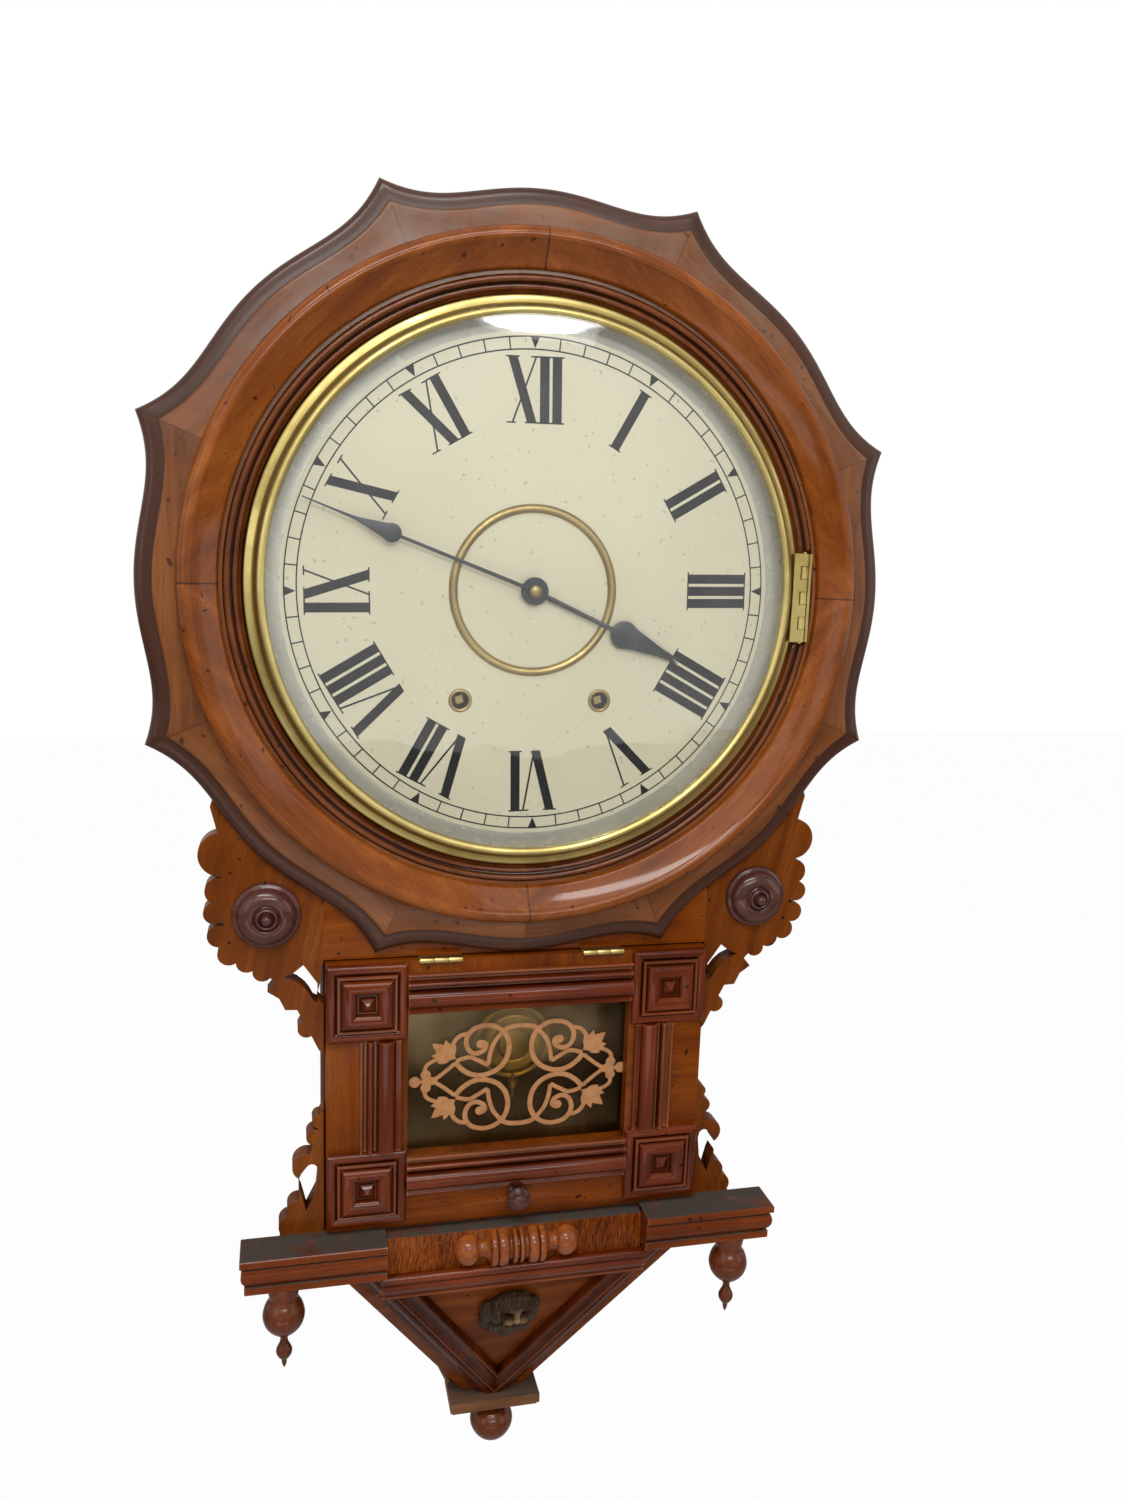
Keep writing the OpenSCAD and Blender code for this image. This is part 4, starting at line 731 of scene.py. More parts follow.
# Mask on the foot: a cast bronze dog's head with a shaggy mane, nailed to the panel.
# It is built from rounds that are melted together, then given the locks of hair.
bronze = Finish("patinated_bronze")
mask_at = on_slope @ Matrix.Translation((0, -33, 0))
spot = bronze.position()
outward = (CASE.to_3x3() @ mask_at.to_3x3() @ Vector((0, 0, 1))).normalized()
root = CASE @ mask_at @ Vector((0, 0, 0))
rise = bronze.node("ShaderNodeVectorMath", {"operation": "DOT_PRODUCT"}, {0: spot, 1: outward}, out="Value")
# Rubbed wear and painted highlight: the highest points and the locks are made paler, while the hollows keep
# their dark patina.
high = bronze.between(rise - root.dot(outward), 0.0125, 0.017)
locks = bronze.clouds(bronze.stretch(spot, (620, 620, 190)), 1.0, 3.0, 0.6, 1.6)
worn = high * 0.6 + bronze.between(locks, 0.5, 0.72) * 0.4
rubbed_and_highlit = bronze.between(worn, 0.05, 0.95) * (1 - bronze.crevice(0.003))
bronze.surface(Base_Color=bronze.mix(rubbed_and_highlit, (0.034, 0.018, 0.008), (0.42, 0.22, 0.1)), Metallic=0.42,
               Roughness=0.46 - rubbed_and_highlit * 0.14, Normal=bronze.bump(locks * (1 - high * 0.75), 0.003),
               Specular_IOR_Level=0.2)
skull = [((0, 1, 3), (17, 18, 5.5)), ((1, 14, 5), (12, 7, 6)), ((2, 14, 9), (8, 4.5, 4.5))]
nose = [((2.6, 12, 12), (2.4, 5.5, 4)), ((2.6, 8, 15), (2.4, 2.2, 2.4))]
lips = [((-1.6, 4.2, 11.6), (4.6, 3.2, 4)), ((6.8, 4.2, 11.6), (4.6, 3.2, 4))]
brows = [((-4.4, 13.6, 10.4), (3.2, 1.6, 2)), ((9, 13.6, 10.4), (3.2, 1.6, 2))]
eyes = [((-3.8, 11, 10), (1.6, 1.3, 1.5)), ((8.4, 11, 10), (1.6, 1.3, 1.5))]
cheeks = [((-8.5, 4, 7), (5, 8, 5)), ((12.4, 4, 7), (4.6, 7, 5)), ((2.4, -1.6, 9), (4.4, 2.8, 3.4))]
beard = [((1.6, -7.5, 8), (7.4, 5.6, 5)), ((1, -14, 6.6), (6.8, 5.6, 5)), ((0, -20.5, 5), (5.2, 5.4, 4)),
         ((-0.8, -26, 3.4), (3, 4, 3))]
mane = [((-15, 4, 5), (4.6, 11, 5)), ((-15.5, -8, 4), (4, 6.4, 4)), ((15.5, 5, 5), (4, 10, 5)),
        ((14, -5, 4.4), (3.8, 6, 4)), ((-9, -10, 6), (5, 7.4, 5)), ((10, -10, 6), (4.6, 7, 4.8)),
        ((-11, -16, 3), (4.4, 5, 3.4))]
bm = bmesh.new()
for at, size in skull + nose + lips + brows + eyes + cheeks + beard + mane:
    bmesh.ops.create_icosphere(bm, subdivisions=3, radius=1,
                               matrix=Matrix.Translation(at) @ Matrix.Diagonal((*size, 1)))
bm.transform(mask_at)
piece = fit_piece("mask_cast", bm, bronze, stands_for=["mask"], slot="bronze", join=0.0001)
melt = piece.modifiers.new("melt", "REMESH")
melt.mode = "VOXEL"
melt.voxel_size = 0.0006
melt.use_smooth_shade = True
soften = piece.modifiers.new("soften", "SMOOTH")
soften.factor = 0.6
soften.iterations = 4

# Block under the foot, its drop, and the finials under the shelves. The block is sawn and dusty.
# The turnings are polished mahogany and hang upright under it and under the shelves.
PLINTH_HIGH = 8.8
PLINTH_FOOT = FOOT_TOP - FOOT_LONG - PLINTH_HIGH
FINIAL_X = 139.9
block_wood = timber("dusty_block_wood", (0.06, 0.024, 0.01), (0.16, 0.07, 0.03), (0.25, 0.125, 0.06),
                    gloss=0.3, coat=0.05, dust=0.7)
fit_wood("plinth_eased", eased("plinth", 0.5), block_wood, one_board(1, 0, 0, 70), stands_for=["plinth"],
         slot="dark_walnut")
turned_mahogany = timber("turned_mahogany", (0.04, 0.008, 0.002), (0.1, 0.021, 0.005), (0.17, 0.045, 0.013),
                         gloss=0.1, coat=0.35)


def hung_turning(profile, steps, x, y, h):
    """A turning of (radius, rise) points round an upright axis, hung with its head at a place."""
    bm = turned(profile, steps)
    bmesh.ops.rotate(bm, verts=bm.verts, matrix=Matrix.Rotation(-math.pi / 2, 3, "X"))
    bmesh.ops.translate(bm, verts=bm.verts, vec=(x, y, h))
    return bm


drop = [(0, 0), (9, 0), (9, -2.2), (8.4, -2.9), (7.0, -3.4)]
drop += rounded([(6.5, -4.2), (6.6, -5.6), (8.4, -6.8)], 3)
drop += rounded([(9.4, -7.2), (12.6, -10.4), (14.5, -14.2), (14.6, -19.0), (12.4, -24.2), (8.6, -28.4),
                 (4.2, -30.5), (0, -30.9)], 4)
fit_wood("bottom_drop_turned", hung_turning(drop, 64, 0, PLINTH_FOOT, 15.6), turned_mahogany,
         one_board(0, 1, 0, 71), stands_for=["bottom_drop"], slot="oxblood")
finial = [(0, 0), (9.2, 0), (9.4, -0.4), (9.3, -2.4), (9.0, -5.2)]
finial += rounded([(8.6, -7.0), (8.3, -8.8), (8.7, -10.2)], 3)
finial += rounded([(8.9, -10.8), (10.9, -14.2), (12.1, -18.4), (12.2, -21.6), (10.9, -26.0), (8.0, -29.8),
                   (5.0, -32.2), (3.2, -33.4)], 4)
finial += rounded([(2.7, -34.2), (2.2, -36.2), (2.5, -38.6), (3.4, -40.6), (4.6, -43.4), (4.5, -46.0),
                   (3.2, -48.4), (1.8, -50.2), (1.5, -52.0), (0.9, -54.4), (0, -56)], 4)
for side, name in ((1, "right"), (-1, "left")):
    fit_wood("finial_" + name, hung_turning(finial, 56, side * FINIAL_X, SHELF_FOOT, 86), turned_mahogany,
             one_board(0, 1, 0, 73 + side), stands_for=["finials"], slot="mahogany")

# Dial: sheet metal painted cream, holes for the arbors, and a rim that slopes back, silvered like a mirror.
# The paint has yellowed a little and is faintly uneven.
DIAL = 80.0
PAINTED_R = 139.4
cream = Finish("cream_paint")
spot = cream.position()
aged = cream.between(cream.clouds(spot, 9.0, 3.0), 0.35, 0.7)
marks = cream.between(cream.clouds(spot, 420.0, 0.0), 0.79, 0.83)
tint = cream.mix(aged, (0.8, 0.76, 0.57), (0.75, 0.7, 0.5))
cream.surface(Base_Color=cream.mix(marks * 0.4, tint, (0.3, 0.24, 0.15)),
              Roughness=cream.clouds(spot, 40.0, 3.0) * 0.1 + 0.3, Coat_Weight=0.3, Coat_Roughness=0.12,
              Normal=cream.bump(cream.clouds(spot, 120.0, 2.0), 0.00005))
bm = drawn_from("dial_plate")
outside = [f for f in bm.faces if f.calc_center_median().z < DIAL - 0.01 or f.normal.z < 0.5]
bmesh.ops.delete(bm, geom=outside, context="FACES")
fit_piece("dial_painted", bm, cream, stands_for=["dial_plate"], slot="dial_paint")
silver = Finish("silvered_rim")
spot = silver.position()
patches = silver.between(silver.clouds(spot, 30.0, 4.0), 0.4, 0.7)
silver.surface(Base_Color=silver.mix(patches, (0.8, 0.79, 0.7), (0.72, 0.71, 0.62)), Metallic=0.25,
               Roughness=silver.clouds(spot, 50.0, 3.0) * 0.1 + 0.22)
rim = [(PAINTED_R, DIAL), (147.4, DIAL - 2.2), (152, DIAL - 2.2), (152, DIAL - 3), (147, DIAL - 3),
       (PAINTED_R, DIAL - 0.8)]
fit_piece("dial_rim", turned(rim, 192), silver, stands_for=["dial_plate"], slot="steel")

# Printing on the dial: minute ring, hour points and Roman numerals in black, a thin raised film of ink.
# The whole print is turned a little to the left.
ink = Finish("printing_ink")
spot = ink.position()
worn = ink.between(ink.clouds(spot, 200.0, 3.0), 0.5, 0.75)
ink.surface(Base_Color=ink.mix(worn, (0.007, 0.007, 0.008), (0.022, 0.021, 0.02)),
            Roughness=ink.clouds(spot, 300.0, 2.0) * 0.2 + 0.3, Specular_IOR_Level=0.1)
PRINT = DIAL + 0.02
FILM = 0.05
LINE = 0.38
PRINT_TURN = math.radians(-1.3)
MINUTE_IN = 130.0
MINUTE_OUT = 136.6
bm = bmesh.new()
for radius in (MINUTE_IN, MINUTE_OUT):
    turn_up(bm, [(radius - LINE, PRINT), (radius + LINE, PRINT), (radius + LINE, PRINT + FILM),
                 (radius - LINE, PRINT + FILM), (radius - LINE, PRINT)], 180)


def raise_flat(bm, outline, height, thick):
    """A flat shape with straight sides, from its outline. Returns its vertices."""
    verts = [bm.verts.new((x, y, height)) for x, y in outline]
    grown = bmesh.ops.extrude_face_region(bm, geom=[bm.faces.new(verts)])
    raised = [v for v in grown["geom"] if isinstance(v, bmesh.types.BMVert)]
    bmesh.ops.translate(bm, verts=raised, vec=(0, 0, thick))
    return verts + raised


def ink_patch(bm, corners, turn, height=PRINT):
    """A thin flat patch of ink from its corners, turned clockwise about the dial's middle."""
    patch = raise_flat(bm, corners, height, FILM)
    bmesh.ops.rotate(bm, verts=patch, matrix=Matrix.Rotation(-turn, 3, "Z"))


for minute in range(60):
    turn = minute * math.tau / 60 + PRINT_TURN
    if minute % 5:
        ink_patch(bm, [(-LINE, MINUTE_IN), (LINE, MINUTE_IN), (LINE, MINUTE_OUT), (-LINE, MINUTE_OUT)], turn)
    else:
        ink_patch(bm, [(0, MINUTE_IN + 0.4), (2.8, MINUTE_OUT + 0.4), (-2.8, MINUTE_OUT + 0.4)], turn)
NUMERAL_FOOT = 91.0
NUMERAL_HEAD = 126.4
THICK = 5.3
THIN = 1.05
GAP = 1.7
SERIF = 0.8
HEAD_SERIF = NUMERAL_HEAD - SERIF


def stem(x, lean=0.0, width=THICK):
    """Corners of a stroke from the foot at x to the head at x + lean."""
    return [(x, NUMERAL_FOOT), (x + width, NUMERAL_FOOT), (x + lean + width, NUMERAL_HEAD),
            (x + lean, NUMERAL_HEAD)]


def serif(left, right, foot):
    return [(left, foot), (right, foot), (right, foot + SERIF), (left, foot + SERIF)]


def one(x):
    feet = [serif(x - 1.3, x + THICK + 1.3, y) for y in (NUMERAL_FOOT - 0.1, HEAD_SERIF + 0.1)]
    return [stem(x)] + feet, THICK


def five(x):
    strokes = [stem(x + 8.6, -8.6), stem(x + 11.6, 6.4, THIN), serif(x - 1.2, x + 6.6, HEAD_SERIF),
               serif(x + 15.2, x + 20.6, HEAD_SERIF)]
    return strokes, 18.8


def ten(x):
    strokes = [stem(x + 10.9, -10.9), stem(x + 2.0, 13.4, THIN), serif(x - 1.2, x + 6.6, HEAD_SERIF),
               serif(x + 12.9, x + 18.0, HEAD_SERIF), serif(x - 0.6, x + 4.6, NUMERAL_FOOT),
               serif(x + 9.6, x + 17.4, NUMERAL_FOOT)]
    return strokes, 16.2


NUMERALS = ("i", "ii", "iii", "iiii", "v", "vi", "vii", "viii", "ix", "x", "xi", "xii")
for hour, letters in enumerate(NUMERALS, 1):
    strokes = []
    reach = 0.0
    for letter in letters:
        added, width = {"i": one, "v": five, "x": ten}[letter](reach)
        strokes += added
        reach += width + GAP
    middle = (reach - GAP) / 2
    turn = hour * math.tau / 12 + PRINT_TURN
    for k, corners in enumerate(strokes):
        ink_patch(bm, [(x - middle, y) for x, y in corners], turn, PRINT + 0.002 * k)
fit_piece("dial_printing", bm, ink, slot="iron", join=0.0001)


# Brass on the dial: a half-round ring about the middle and a grommet in each winding hole.
# Worn lacquered brass, a little brown in the low places.
def brasswork(name, bright, tarnish, rough, share):
    metal = Finish(name)
    spot = metal.position()
    stain = metal.between(metal.clouds(spot, 26.0, 5.0, 0.62), *share)
    stain = stain + metal.crevice(0.0025) * (1 - stain) * 0.7
    scratch = metal.clouds(spot, 900.0, 2.0)
    metal.surface(Base_Color=metal.mix(stain, bright, tarnish), Metallic=1.0,
                  Roughness=stain * 0.2 + scratch * 0.06 + rough, Normal=metal.bump(scratch, 0.00001))
    return metal


dull_brass = brasswork("worn_brass", (0.5, 0.38, 0.15), (0.24, 0.16, 0.055), 0.24, (0.3, 0.7))
half_round = [(43, DIAL)] + reed(45.5, DIAL, 2.5, 2.5, range(10, 171, 10)) + [(48, DIAL)]
fit_piece("dial_ring", turned(half_round, 128), dull_brass, stands_for=["dial_trim"], slot="brass")
WINDING_X = 40.51
WINDING_Y = -61.99
grommet = [(4.6, -2), (5.3, -2), (5.3, 0), (6.7, 0)]
grommet += rounded([(6.7, 0.2), (6.2, 0.8), (5.4, 0.9), (4.7, 0.4), (4.6, -0.6)], 3) + [(4.6, -2)]
for side, name in ((-1, "left"), (1, "right")):
    fit_piece("grommet_" + name, turned(grommet, 40, (side * WINDING_X, WINDING_Y, DIAL)), dull_brass,
              stands_for=["dial_trim"], slot="brass")

# Bezel: spun brass, polished, with a groove in its outer slope and a turned-in sight edge. Its glass
# is held from behind, and a strip hinge with seven knuckles carries it at three o'clock.
BEZEL_BACK = DIAL - 1.7
brass = brasswork("polished_brass", (0.47, 0.38, 0.145), (0.27, 0.2, 0.062), 0.3, (0.4, 0.72))
outer_slope = rounded([(157.5, 2), (157.6, 4.4), (157.3, 5.3), (156.4, 5.9), (155, 6.4), (153.3, 7.3)], 3)
groove = [(153.0, 7.1), (152.7, 7.4)]
crest = rounded([(152.5, 8.2), (151.8, 10.2), (150.4, 12.3), (148.9, 13.3), (147.5, 13.1), (146.4, 12.1),
                 (146.0, 10.6)], 4)
rebate = [(146, 10.3), (150.5, 10.3), (150.5, 8), (152.5, 6), (153.7, 0)]
bezel = [(153.7, 0), (157.5, 0)] + outer_slope + groove + crest + rebate
fit_piece("bezel_spun", turned(bezel, 256, (0, 0, BEZEL_BACK)), brass, body="bezel", stands_for=["bezel"],
          slot="brass")
for node, body in (("bezel_leaf", "bezel"), ("case_leaf", "case")):
    fit_piece(node + "_filed", eased(node, 0.2, angle=50), brass, body=body, stands_for=[node], slot="brass")


def sheet_glass(name, tint, film, share, mirrored=(1, 1, 1), rough=0.02):
    """Old window glass: what is behind shows through it, and it mirrors the room by its slant."""
    glass = Finish(name)
    spot = glass.position()
    wave = glass.bump(glass.clouds(glass.stretch(spot, (9, 9, 16)), 1.0, 2.0), 0.0006)
    haze = glass.between(glass.clouds(spot, 24.0, 4.0), 0.4, 0.75) * film
    through = glass.node("ShaderNodeBsdfTransparent", {}, {0: (*tint, 1)})
    face = glass.node("ShaderNodeLayerWeight", {}, {"Blend": 0.35}, out="Fresnel")
    sheen = glass.node("ShaderNodeBsdfGlossy", {},
                       {"Color": (*mirrored, 1), "Roughness": rough, "Normal": wave})
    glass.cover(glass.node("ShaderNodeMixShader", {}, {0: haze + face * share, 1: through, 2: sheen}))
    return glass


give(["bezel_glass"], sheet_glass("bezel_pane", (0.98, 0.98, 0.97), 0.015, 0.8))

# Hands: blued steel, filed flat with eased edges: a hub, a thin arm and a drop drawn out to a point.
# A turned brass collet holds them on.
MINUTE_HAND = 85.8
HOUR_HAND = 83
blued = Finish("blued_steel")
spot = blued.position()
worn = blued.between(blued.clouds(spot, 70.0, 4.0), 0.4, 0.7)
blued.surface(Base_Color=blued.mix(worn, (0.018, 0.02, 0.026), (0.05, 0.05, 0.055)), Metallic=0.6,
              Roughness=blued.clouds(spot, 90.0, 3.0) * 0.2 + 0.28)


def hand(length, hub, drop_at, drop, arm, turn, height):
    """A hand pointing up, then turned clockwise by degrees. Hub and drop are radii, arm a half width."""
    bm = bmesh.new()
    half = [(arm * 1.3, 0), (arm, drop_at - drop)]
    half += [(drop * math.cos(math.radians(a)), drop_at + drop * math.sin(math.radians(a)))
             for a in range(-80, 37, 8)]
    point = [(drop * 0.78, drop_at + drop * 0.62), (drop * 0.6, drop_at + drop * 1.7),
             (drop * 0.34, drop_at + drop * 3), (drop * 0.16, drop_at + drop * 4.6), (0.35, length)]
    half += rounded(point, 4)[2:]
    raise_flat(bm, half + [(-x, y) for x, y in reversed(half)], height + 0.05, 0.8)
    rim = [e for e in bm.edges if e.is_manifold and all(v.co.z > height + 0.5 for v in e.verts)
           and e.calc_face_angle(0) > 1.2]
    bevel(bm, rim, 0.22, 2)
    top = height + 0.95
    turn_up(bm, [(0, height), (hub - 0.3, height), (hub, height + 0.3), (hub, height + 0.7), (hub - 0.3, top),
                 (0, top)], 48)
    bmesh.ops.rotate(bm, verts=bm.verts, matrix=Matrix.Rotation(-math.radians(turn), 3, "Z"))
    return bm


minute_hand = hand(length=135.5, hub=4.4, drop_at=85, drop=5.2, arm=0.9, turn=290.2, height=MINUTE_HAND)
fit_piece("minute_hand_filed", minute_hand, blued, body="cannon", stands_for=["minute_hand"],
          slot="blued_steel", join=0.0001)
hour_hand = hand(length=91, hub=7.8, drop_at=58, drop=8, arm=1.2, turn=114, height=HOUR_HAND)
fit_piece("hour_hand_filed", hour_hand, blued, body="hour", stands_for=["hour_hand"], slot="blued_steel",
          join=0.0001)
collet = [(0, 86.7), (3.2, 86.7), (3.4, 87.0), (3.1, 87.4), (2.2, 87.75), (1.2, 87.95), (0, 88)]
fit_piece("collet", turned(collet, 40), dull_brass, body="cannon", stands_for=["hand_nut"], slot="brass")

# Door: a walnut frame with its lower rail bare, faced with red mahogany: four corner blocks cut in
# nested mitred steps up to a small pyramid, and reeded strips between them.
DOOR_HALF = 115
DOOR_FRONT = 79.3
DOOR_TOP = -214.82
DOOR_FOOT = DOOR_TOP - 167.6
OPENING_Y = -298
OPENING_HALF = 47
BLOCK = 47.0
BLOCK_X = DOOR_HALF - BLOCK / 2
BLOCK_HIGH = DOOR_TOP - BLOCK / 2
BLOCK_LOW = DOOR_FOOT + 4 + BLOCK / 2


def door_board(middle):
    """The frame's rails lie across above and below the opening, and its stiles stand between them."""
    if abs(middle.y - OPENING_Y) > OPENING_HALF:
        return Vector((1, 0, 0)), 80
    return Vector((0, 1, 0)), 82


def mitred_round(x, y, number):
    """A rule for four short lengths mitred round a block's middle."""
    def rule(middle):
        across = abs(middle.y - y) > abs(middle.x - x)
        return Vector((1, 0, 0) if across else (0, 1, 0)), number
    return rule


fit_wood("door_frame_planed", eased("door_frame", 0.5), walnut, door_board, body="door",
         stands_for=["door_frame"], slot="walnut")
block_edge = [(0, 0), (0, 2.2)] + rounded([(0.1, 2.6), (0.9, 3.7), (2.6, 4.4), (4.4, 4.2), (5.7, 3.3)], 3)
block_edge += [(6.0, 3.1), (6.2, 5.3), (6.6, 5.7), (7.7, 5.7), (8.1, 5.3), (8.3, 4.0), (8.6, 4.0)]
block_edge += rounded([(8.7, 5.0), (9.8, 6.8), (12.2, 7.7), (14.8, 7.5), (16.8, 6.2), (17.5, 4.9)], 3)
block_edge += [(17.8, 3.8), (18.7, 3.8), (19.1, 4.3), (23.2, 7.7), (23.45, 7.8), (23.45, 0)]
corners = [(-1, -1), (1, -1), (1, 1), (-1, 1)]
for side, way in ((-1, "_left"), (1, "_right")):
    for level, y in (("high", BLOCK_HIGH), ("low", BLOCK_LOW)):
        x = side * BLOCK_X
        square = [(x + a * BLOCK / 2, y + b * BLOCK / 2, DOOR_FRONT) for a, b in corners]
        bm = bmesh.new()
        run_moulding(bm, square, block_edge, closed=True)
        close_holes(bm)
        fit_wood("block_" + level + way, bm, mahogany, mitred_round(x, y, 90 + side), body="door",
                 stands_for=["door_blocks"], slot="mahogany", crease=25)

# Reeded strips, planed in long lengths: a fillet, a hollow, a narrow reed, a quirk and a wide reed.
# The rails lie across between the blocks, and the stiles stand between them with the fillet outside.
RAIL_HALF = 68
STILE_X = 95.5
reed_edge = [(0, 0), (0, 3.5), (0.3, 3.8), (1.0, 3.8), (1.2, 3.4), (1.6, 1.9), (2.6, 1.3), (3.8, 1.7)]
reed_edge += reed(6.0, 2.4, 1.9, 3.0, range(8, 173, 16)) + [(8.2, 1.5), (9.5, 1.5)]
reed_edge += reed(15.1, 2.4, 5.3, 4.6, range(4, 177, 12)) + [(20.8, 3.4), (23.4, 3.6), (24, 3.2), (24, 0)]
for name, y, number in (("high", DOOR_TOP - 7.5, 84), ("low", DOOR_FOOT + 45, 85)):
    bm = bmesh.new()
    run_moulding(bm, [(RAIL_HALF, y, DOOR_FRONT), (-RAIL_HALF, y, DOOR_FRONT)], reed_edge)
    fit_wood("rail_" + name, bm, mahogany, one_board(1, 0, 0, number), body="door", stands_for=["door_rails"],
             slot="mahogany", crease=28)
for side, name in ((-1, "left"), (1, "right")):
    high = (side * STILE_X, BLOCK_HIGH - BLOCK / 2, DOOR_FRONT)
    low = (side * STILE_X, BLOCK_LOW + BLOCK / 2, DOOR_FRONT)
    bm = bmesh.new()
    run_moulding(bm, [high, low] if side < 0 else [low, high], reed_edge)
    fit_wood("stile_" + name, bm, mahogany, one_board(0, 1, 0, 87 + side), body="door",
             stands_for=["door_stiles"], slot="mahogany", crease=28)

# Door glass: smoky old glass, with scrolls, rings and palmettes in tan gilt printed behind it.
# The pattern is the usual stencilled tablet of such clocks: one quarter, mirrored to all four.
GLASS = 71.35
TABLET_X = 1.65
TABLET_Y = -294.2
RIBBON_FILM = 0.04
LEAF_FILM = 0.06
give(["door_glass"], sheet_glass("door_pane", (0.72, 0.64, 0.46), 0.04, 0.25, (0.9, 0.7, 0.42), 0.08))
gilt = Finish("tan_gilt")
spot = gilt.position()
worn = gilt.between(gilt.clouds(spot, 200.0, 4.0), 0.4, 0.7)
gilt.surface(Base_Color=gilt.mix(worn, (0.4, 0.19, 0.08), (0.32, 0.14, 0.056)), Metallic=0.15,
             Roughness=gilt.clouds(spot, 400.0, 2.0) * 0.2 + 0.4, Specular_IOR_Level=0.1)
quarter = bmesh.new()


def step_up():
    """How far the next stroke stands off the glass: each lies a hair above the ones before it."""
    return 0.02 + 0.00002 * len(quarter.verts)


def ribbon(width, points):
    """A flat stroke of gilt along a route."""
    over = step_up() + RIBBON_FILM
    half = width / 2
    route = [(x, y, GLASS) for x, y in rounded(points)]
    run_moulding(quarter, route, [(-half, 0), (-half, over), (half, over), (half, 0)])


def leaf(x, y, angle, length, width):
    """A pointed leaf from its root."""
    shares = [k / 8 for k in range(9)]
    half = [(length * t, width / 2 * math.sin(math.pi * t**0.8)) for t in shares]
    outline = half + [(a, -b) for a, b in reversed(half[1:-1])]
    c, s = math.cos(math.radians(angle)), math.sin(math.radians(angle))
    height = GLASS + step_up() + LEAF_FILM
    quarter.faces.new([quarter.verts.new((x + a * c - b * s, y + a * s + b * c, height)) for a, b in outline])


def dot(x, y, radius):
    place = Matrix.Translation((x, y, GLASS + step_up() + LEAF_FILM))
    bmesh.ops.create_circle(quarter, cap_ends=True, radius=radius, segments=28, matrix=place)


ribbon(3.1, [(39.8, 11.3), (36.4, 6.8), (30.2, 2.6), (22.8, 1.4), (14.2, 4.4), (8.7, 10.6), (6.95, 18.2),
             (8.0, 24.4), (10.95, 29.4)])
ribbon(2.9, [(9.2, 28.0), (10.95, 29.4), (16.4, 32.6), (22.7, 33.4), (29.8, 31.0), (33.35, 24.9),
             (32.0, 18.6), (27.6, 15.7), (22.6, 17.4), (21.2, 20.8), (23.0, 22.8)])
dot(24.3, 21.6, 2.8)
ribbon(2.6, [(11.4, 28.4), (16.0, 22.4), (18.5, 15.4), (19.7, 7.9)])
ribbon(2.6, [(39.2, 11.7), (31.6, 13.6), (26.0, 11.2), (19.7, 7.6)])
ribbon(3.0, [(0, 32.0), (6.2, 31.4), (10.9, 29.2)])
ribbon(2.6, [(40.8, 13.0), (42.0, 19.4), (40.4, 24.6), (37.0, 27.8), (32.8, 28.8)])
ribbon(2.4, [(44.0, 12.4), (50.0, 13.4), (54.4, 12.2), (57.6, 9.4), (58.0, 5.4)])
ribbon(2.4, [(40.2, 10.2), (43.2, 7.6), (48.2, 3.6), (53.6, 0)])
dot(57.65, 4.2, 3.1)
dot(64.2, 0, 3.5)
dot(43.8, 15.4, 3.0)
for angle, length, width in ((41, 14.6, 7.2), (74, 11.8, 5.6), (8, 11.8, 5.6), (108, 8.8, 4.6),
                             (-26, 8.6, 4.6)):
    leaf(42.9, 14.6, angle, length, width)
leaf(50.4, 0, 0, 12, 6)
printed = bpy.data.meshes.new("quarter")
quarter.to_mesh(printed)
quarter.free()
bm = bmesh.new()
for across, upward in ((1, 1), (-1, 1), (1, -1), (-1, -1)):
    before = len(bm.verts)
    bm.from_mesh(printed)
    bm.verts.ensure_lookup_table()
    bmesh.ops.scale(bm, vec=(across, upward, 1), verts=bm.verts[before:])
bmesh.ops.translate(bm, verts=bm.verts, vec=(TABLET_X, TABLET_Y, 0))
fit_piece("gilt_scrolls", bm, gilt, body="door", slot="light_walnut", join=0.0001)

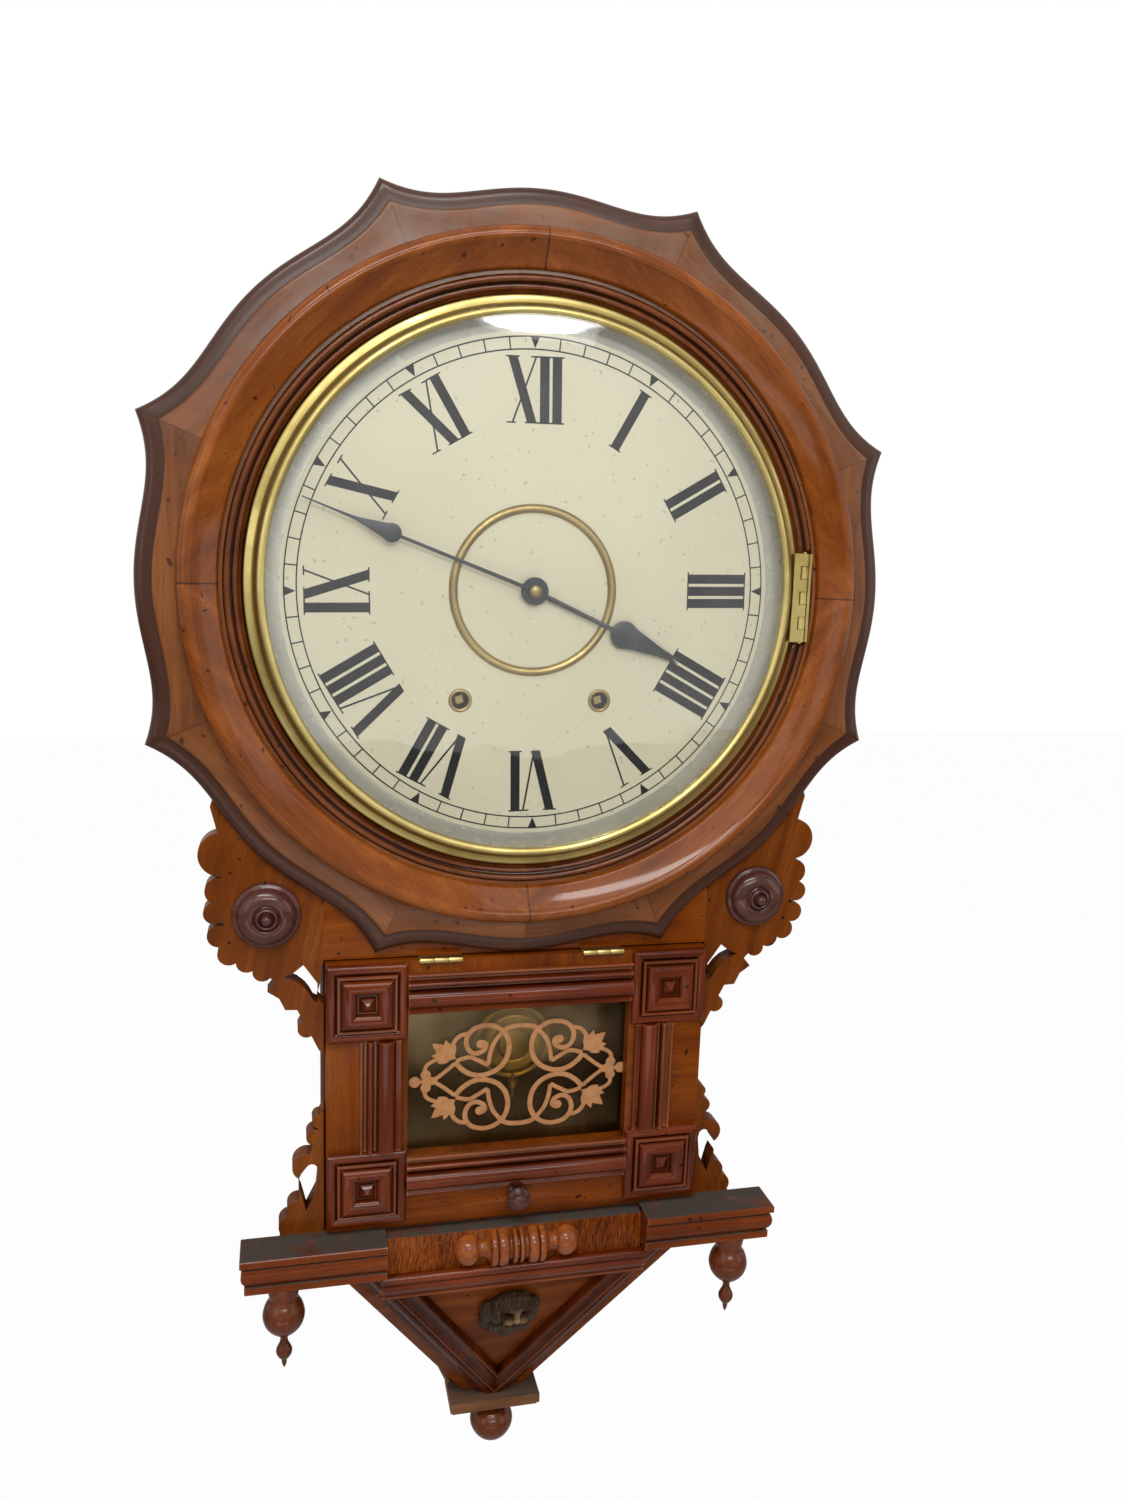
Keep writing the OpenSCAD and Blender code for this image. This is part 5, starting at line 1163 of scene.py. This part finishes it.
# Knob on the door's lower rail, turned and stained, and the two brass hinges along its top edge.
# The knob's stem goes through the rail, and it has small ridges on its round.
knob = [(0, -8), (1.9, -8), (2, 0), (5.5, 0), (5.5, 1.2), (4.7, 1.9)]
knob += rounded([(4.3, 2.5), (4.6, 3.5), (6.0, 5.0), (7.1, 7.0), (7.2, 8.4), (6.7, 8.9), (6.8, 9.7),
                 (6.1, 10.3), (6.0, 11.1), (5.2, 11.5), (4.9, 12.2), (4.0, 12.5), (3.5, 13.2), (2.0, 13.7),
                 (0, 14.2)], 3)
fit_wood("knob_turned", turned(knob, 48, (0, DOOR_FOOT + 14.8, DOOR_FRONT)), oxblood,
         one_board(0, 0.2, 1, 95), body="door", stands_for=["door_knob"], slot="oxblood")
for node, body in (("door_leaves", "door"), ("board_leaves", "case")):
    fit_piece(node + "_filed", eased(node, 0.12, angle=50), dull_brass, body=body, stands_for=[node],
              slot="brass")

# Movement: brass plates and wheels, steel springs, verge and hammer, and the coiled gong.
# Only the bob shows, through the door's glass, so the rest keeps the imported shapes.
give(["movement_frame", "centre_arbor", "cannon_pipe", "hour_pipe", "motion_arbor", "great_arbor",
      "second_arbor", "third_arbor", "escape_arbor", "strike_arbor", "strike_second", "fly", "rating_nut"],
     dull_brass)
give(["mainsprings", "verge", "pendulum_rod", "hammer", "gong"], steel)

# Bob: pressed brass over lead, with rings round a raised middle.
# It hangs on the rod below the verge, with the rating nut under it.
BOB_Y = -279.0
BOB_BACK = 54
bob = [(0, BOB_BACK), (23.5, BOB_BACK), (24.5, 55), (24.5, 56.4)]
bob += rounded([(24.2, 57.4), (22.8, 58.3), (21.4, 57.9), (20.6, 57.3)], 3)
bob += rounded([(19.8, 58.6), (18.2, 60.1), (15.2, 60.5), (12.4, 60.2), (11.0, 59.6)], 3)
bob += rounded([(10.2, 60.2), (9.2, 61.2), (7.8, 61.6), (5, 62.2), (2.4, 62.7), (0, 62.8)], 3)
bob_brass = brasswork("bob_brass", (0.5, 0.4, 0.17), (0.2, 0.15, 0.06), 0.24, (0.35, 0.7))
fit_piece("bob_pressed", turned(bob, 72, (0, BOB_Y, 0)), bob_brass, body="pendulum",
          stands_for=["pendulum_bob"], slot="brass")
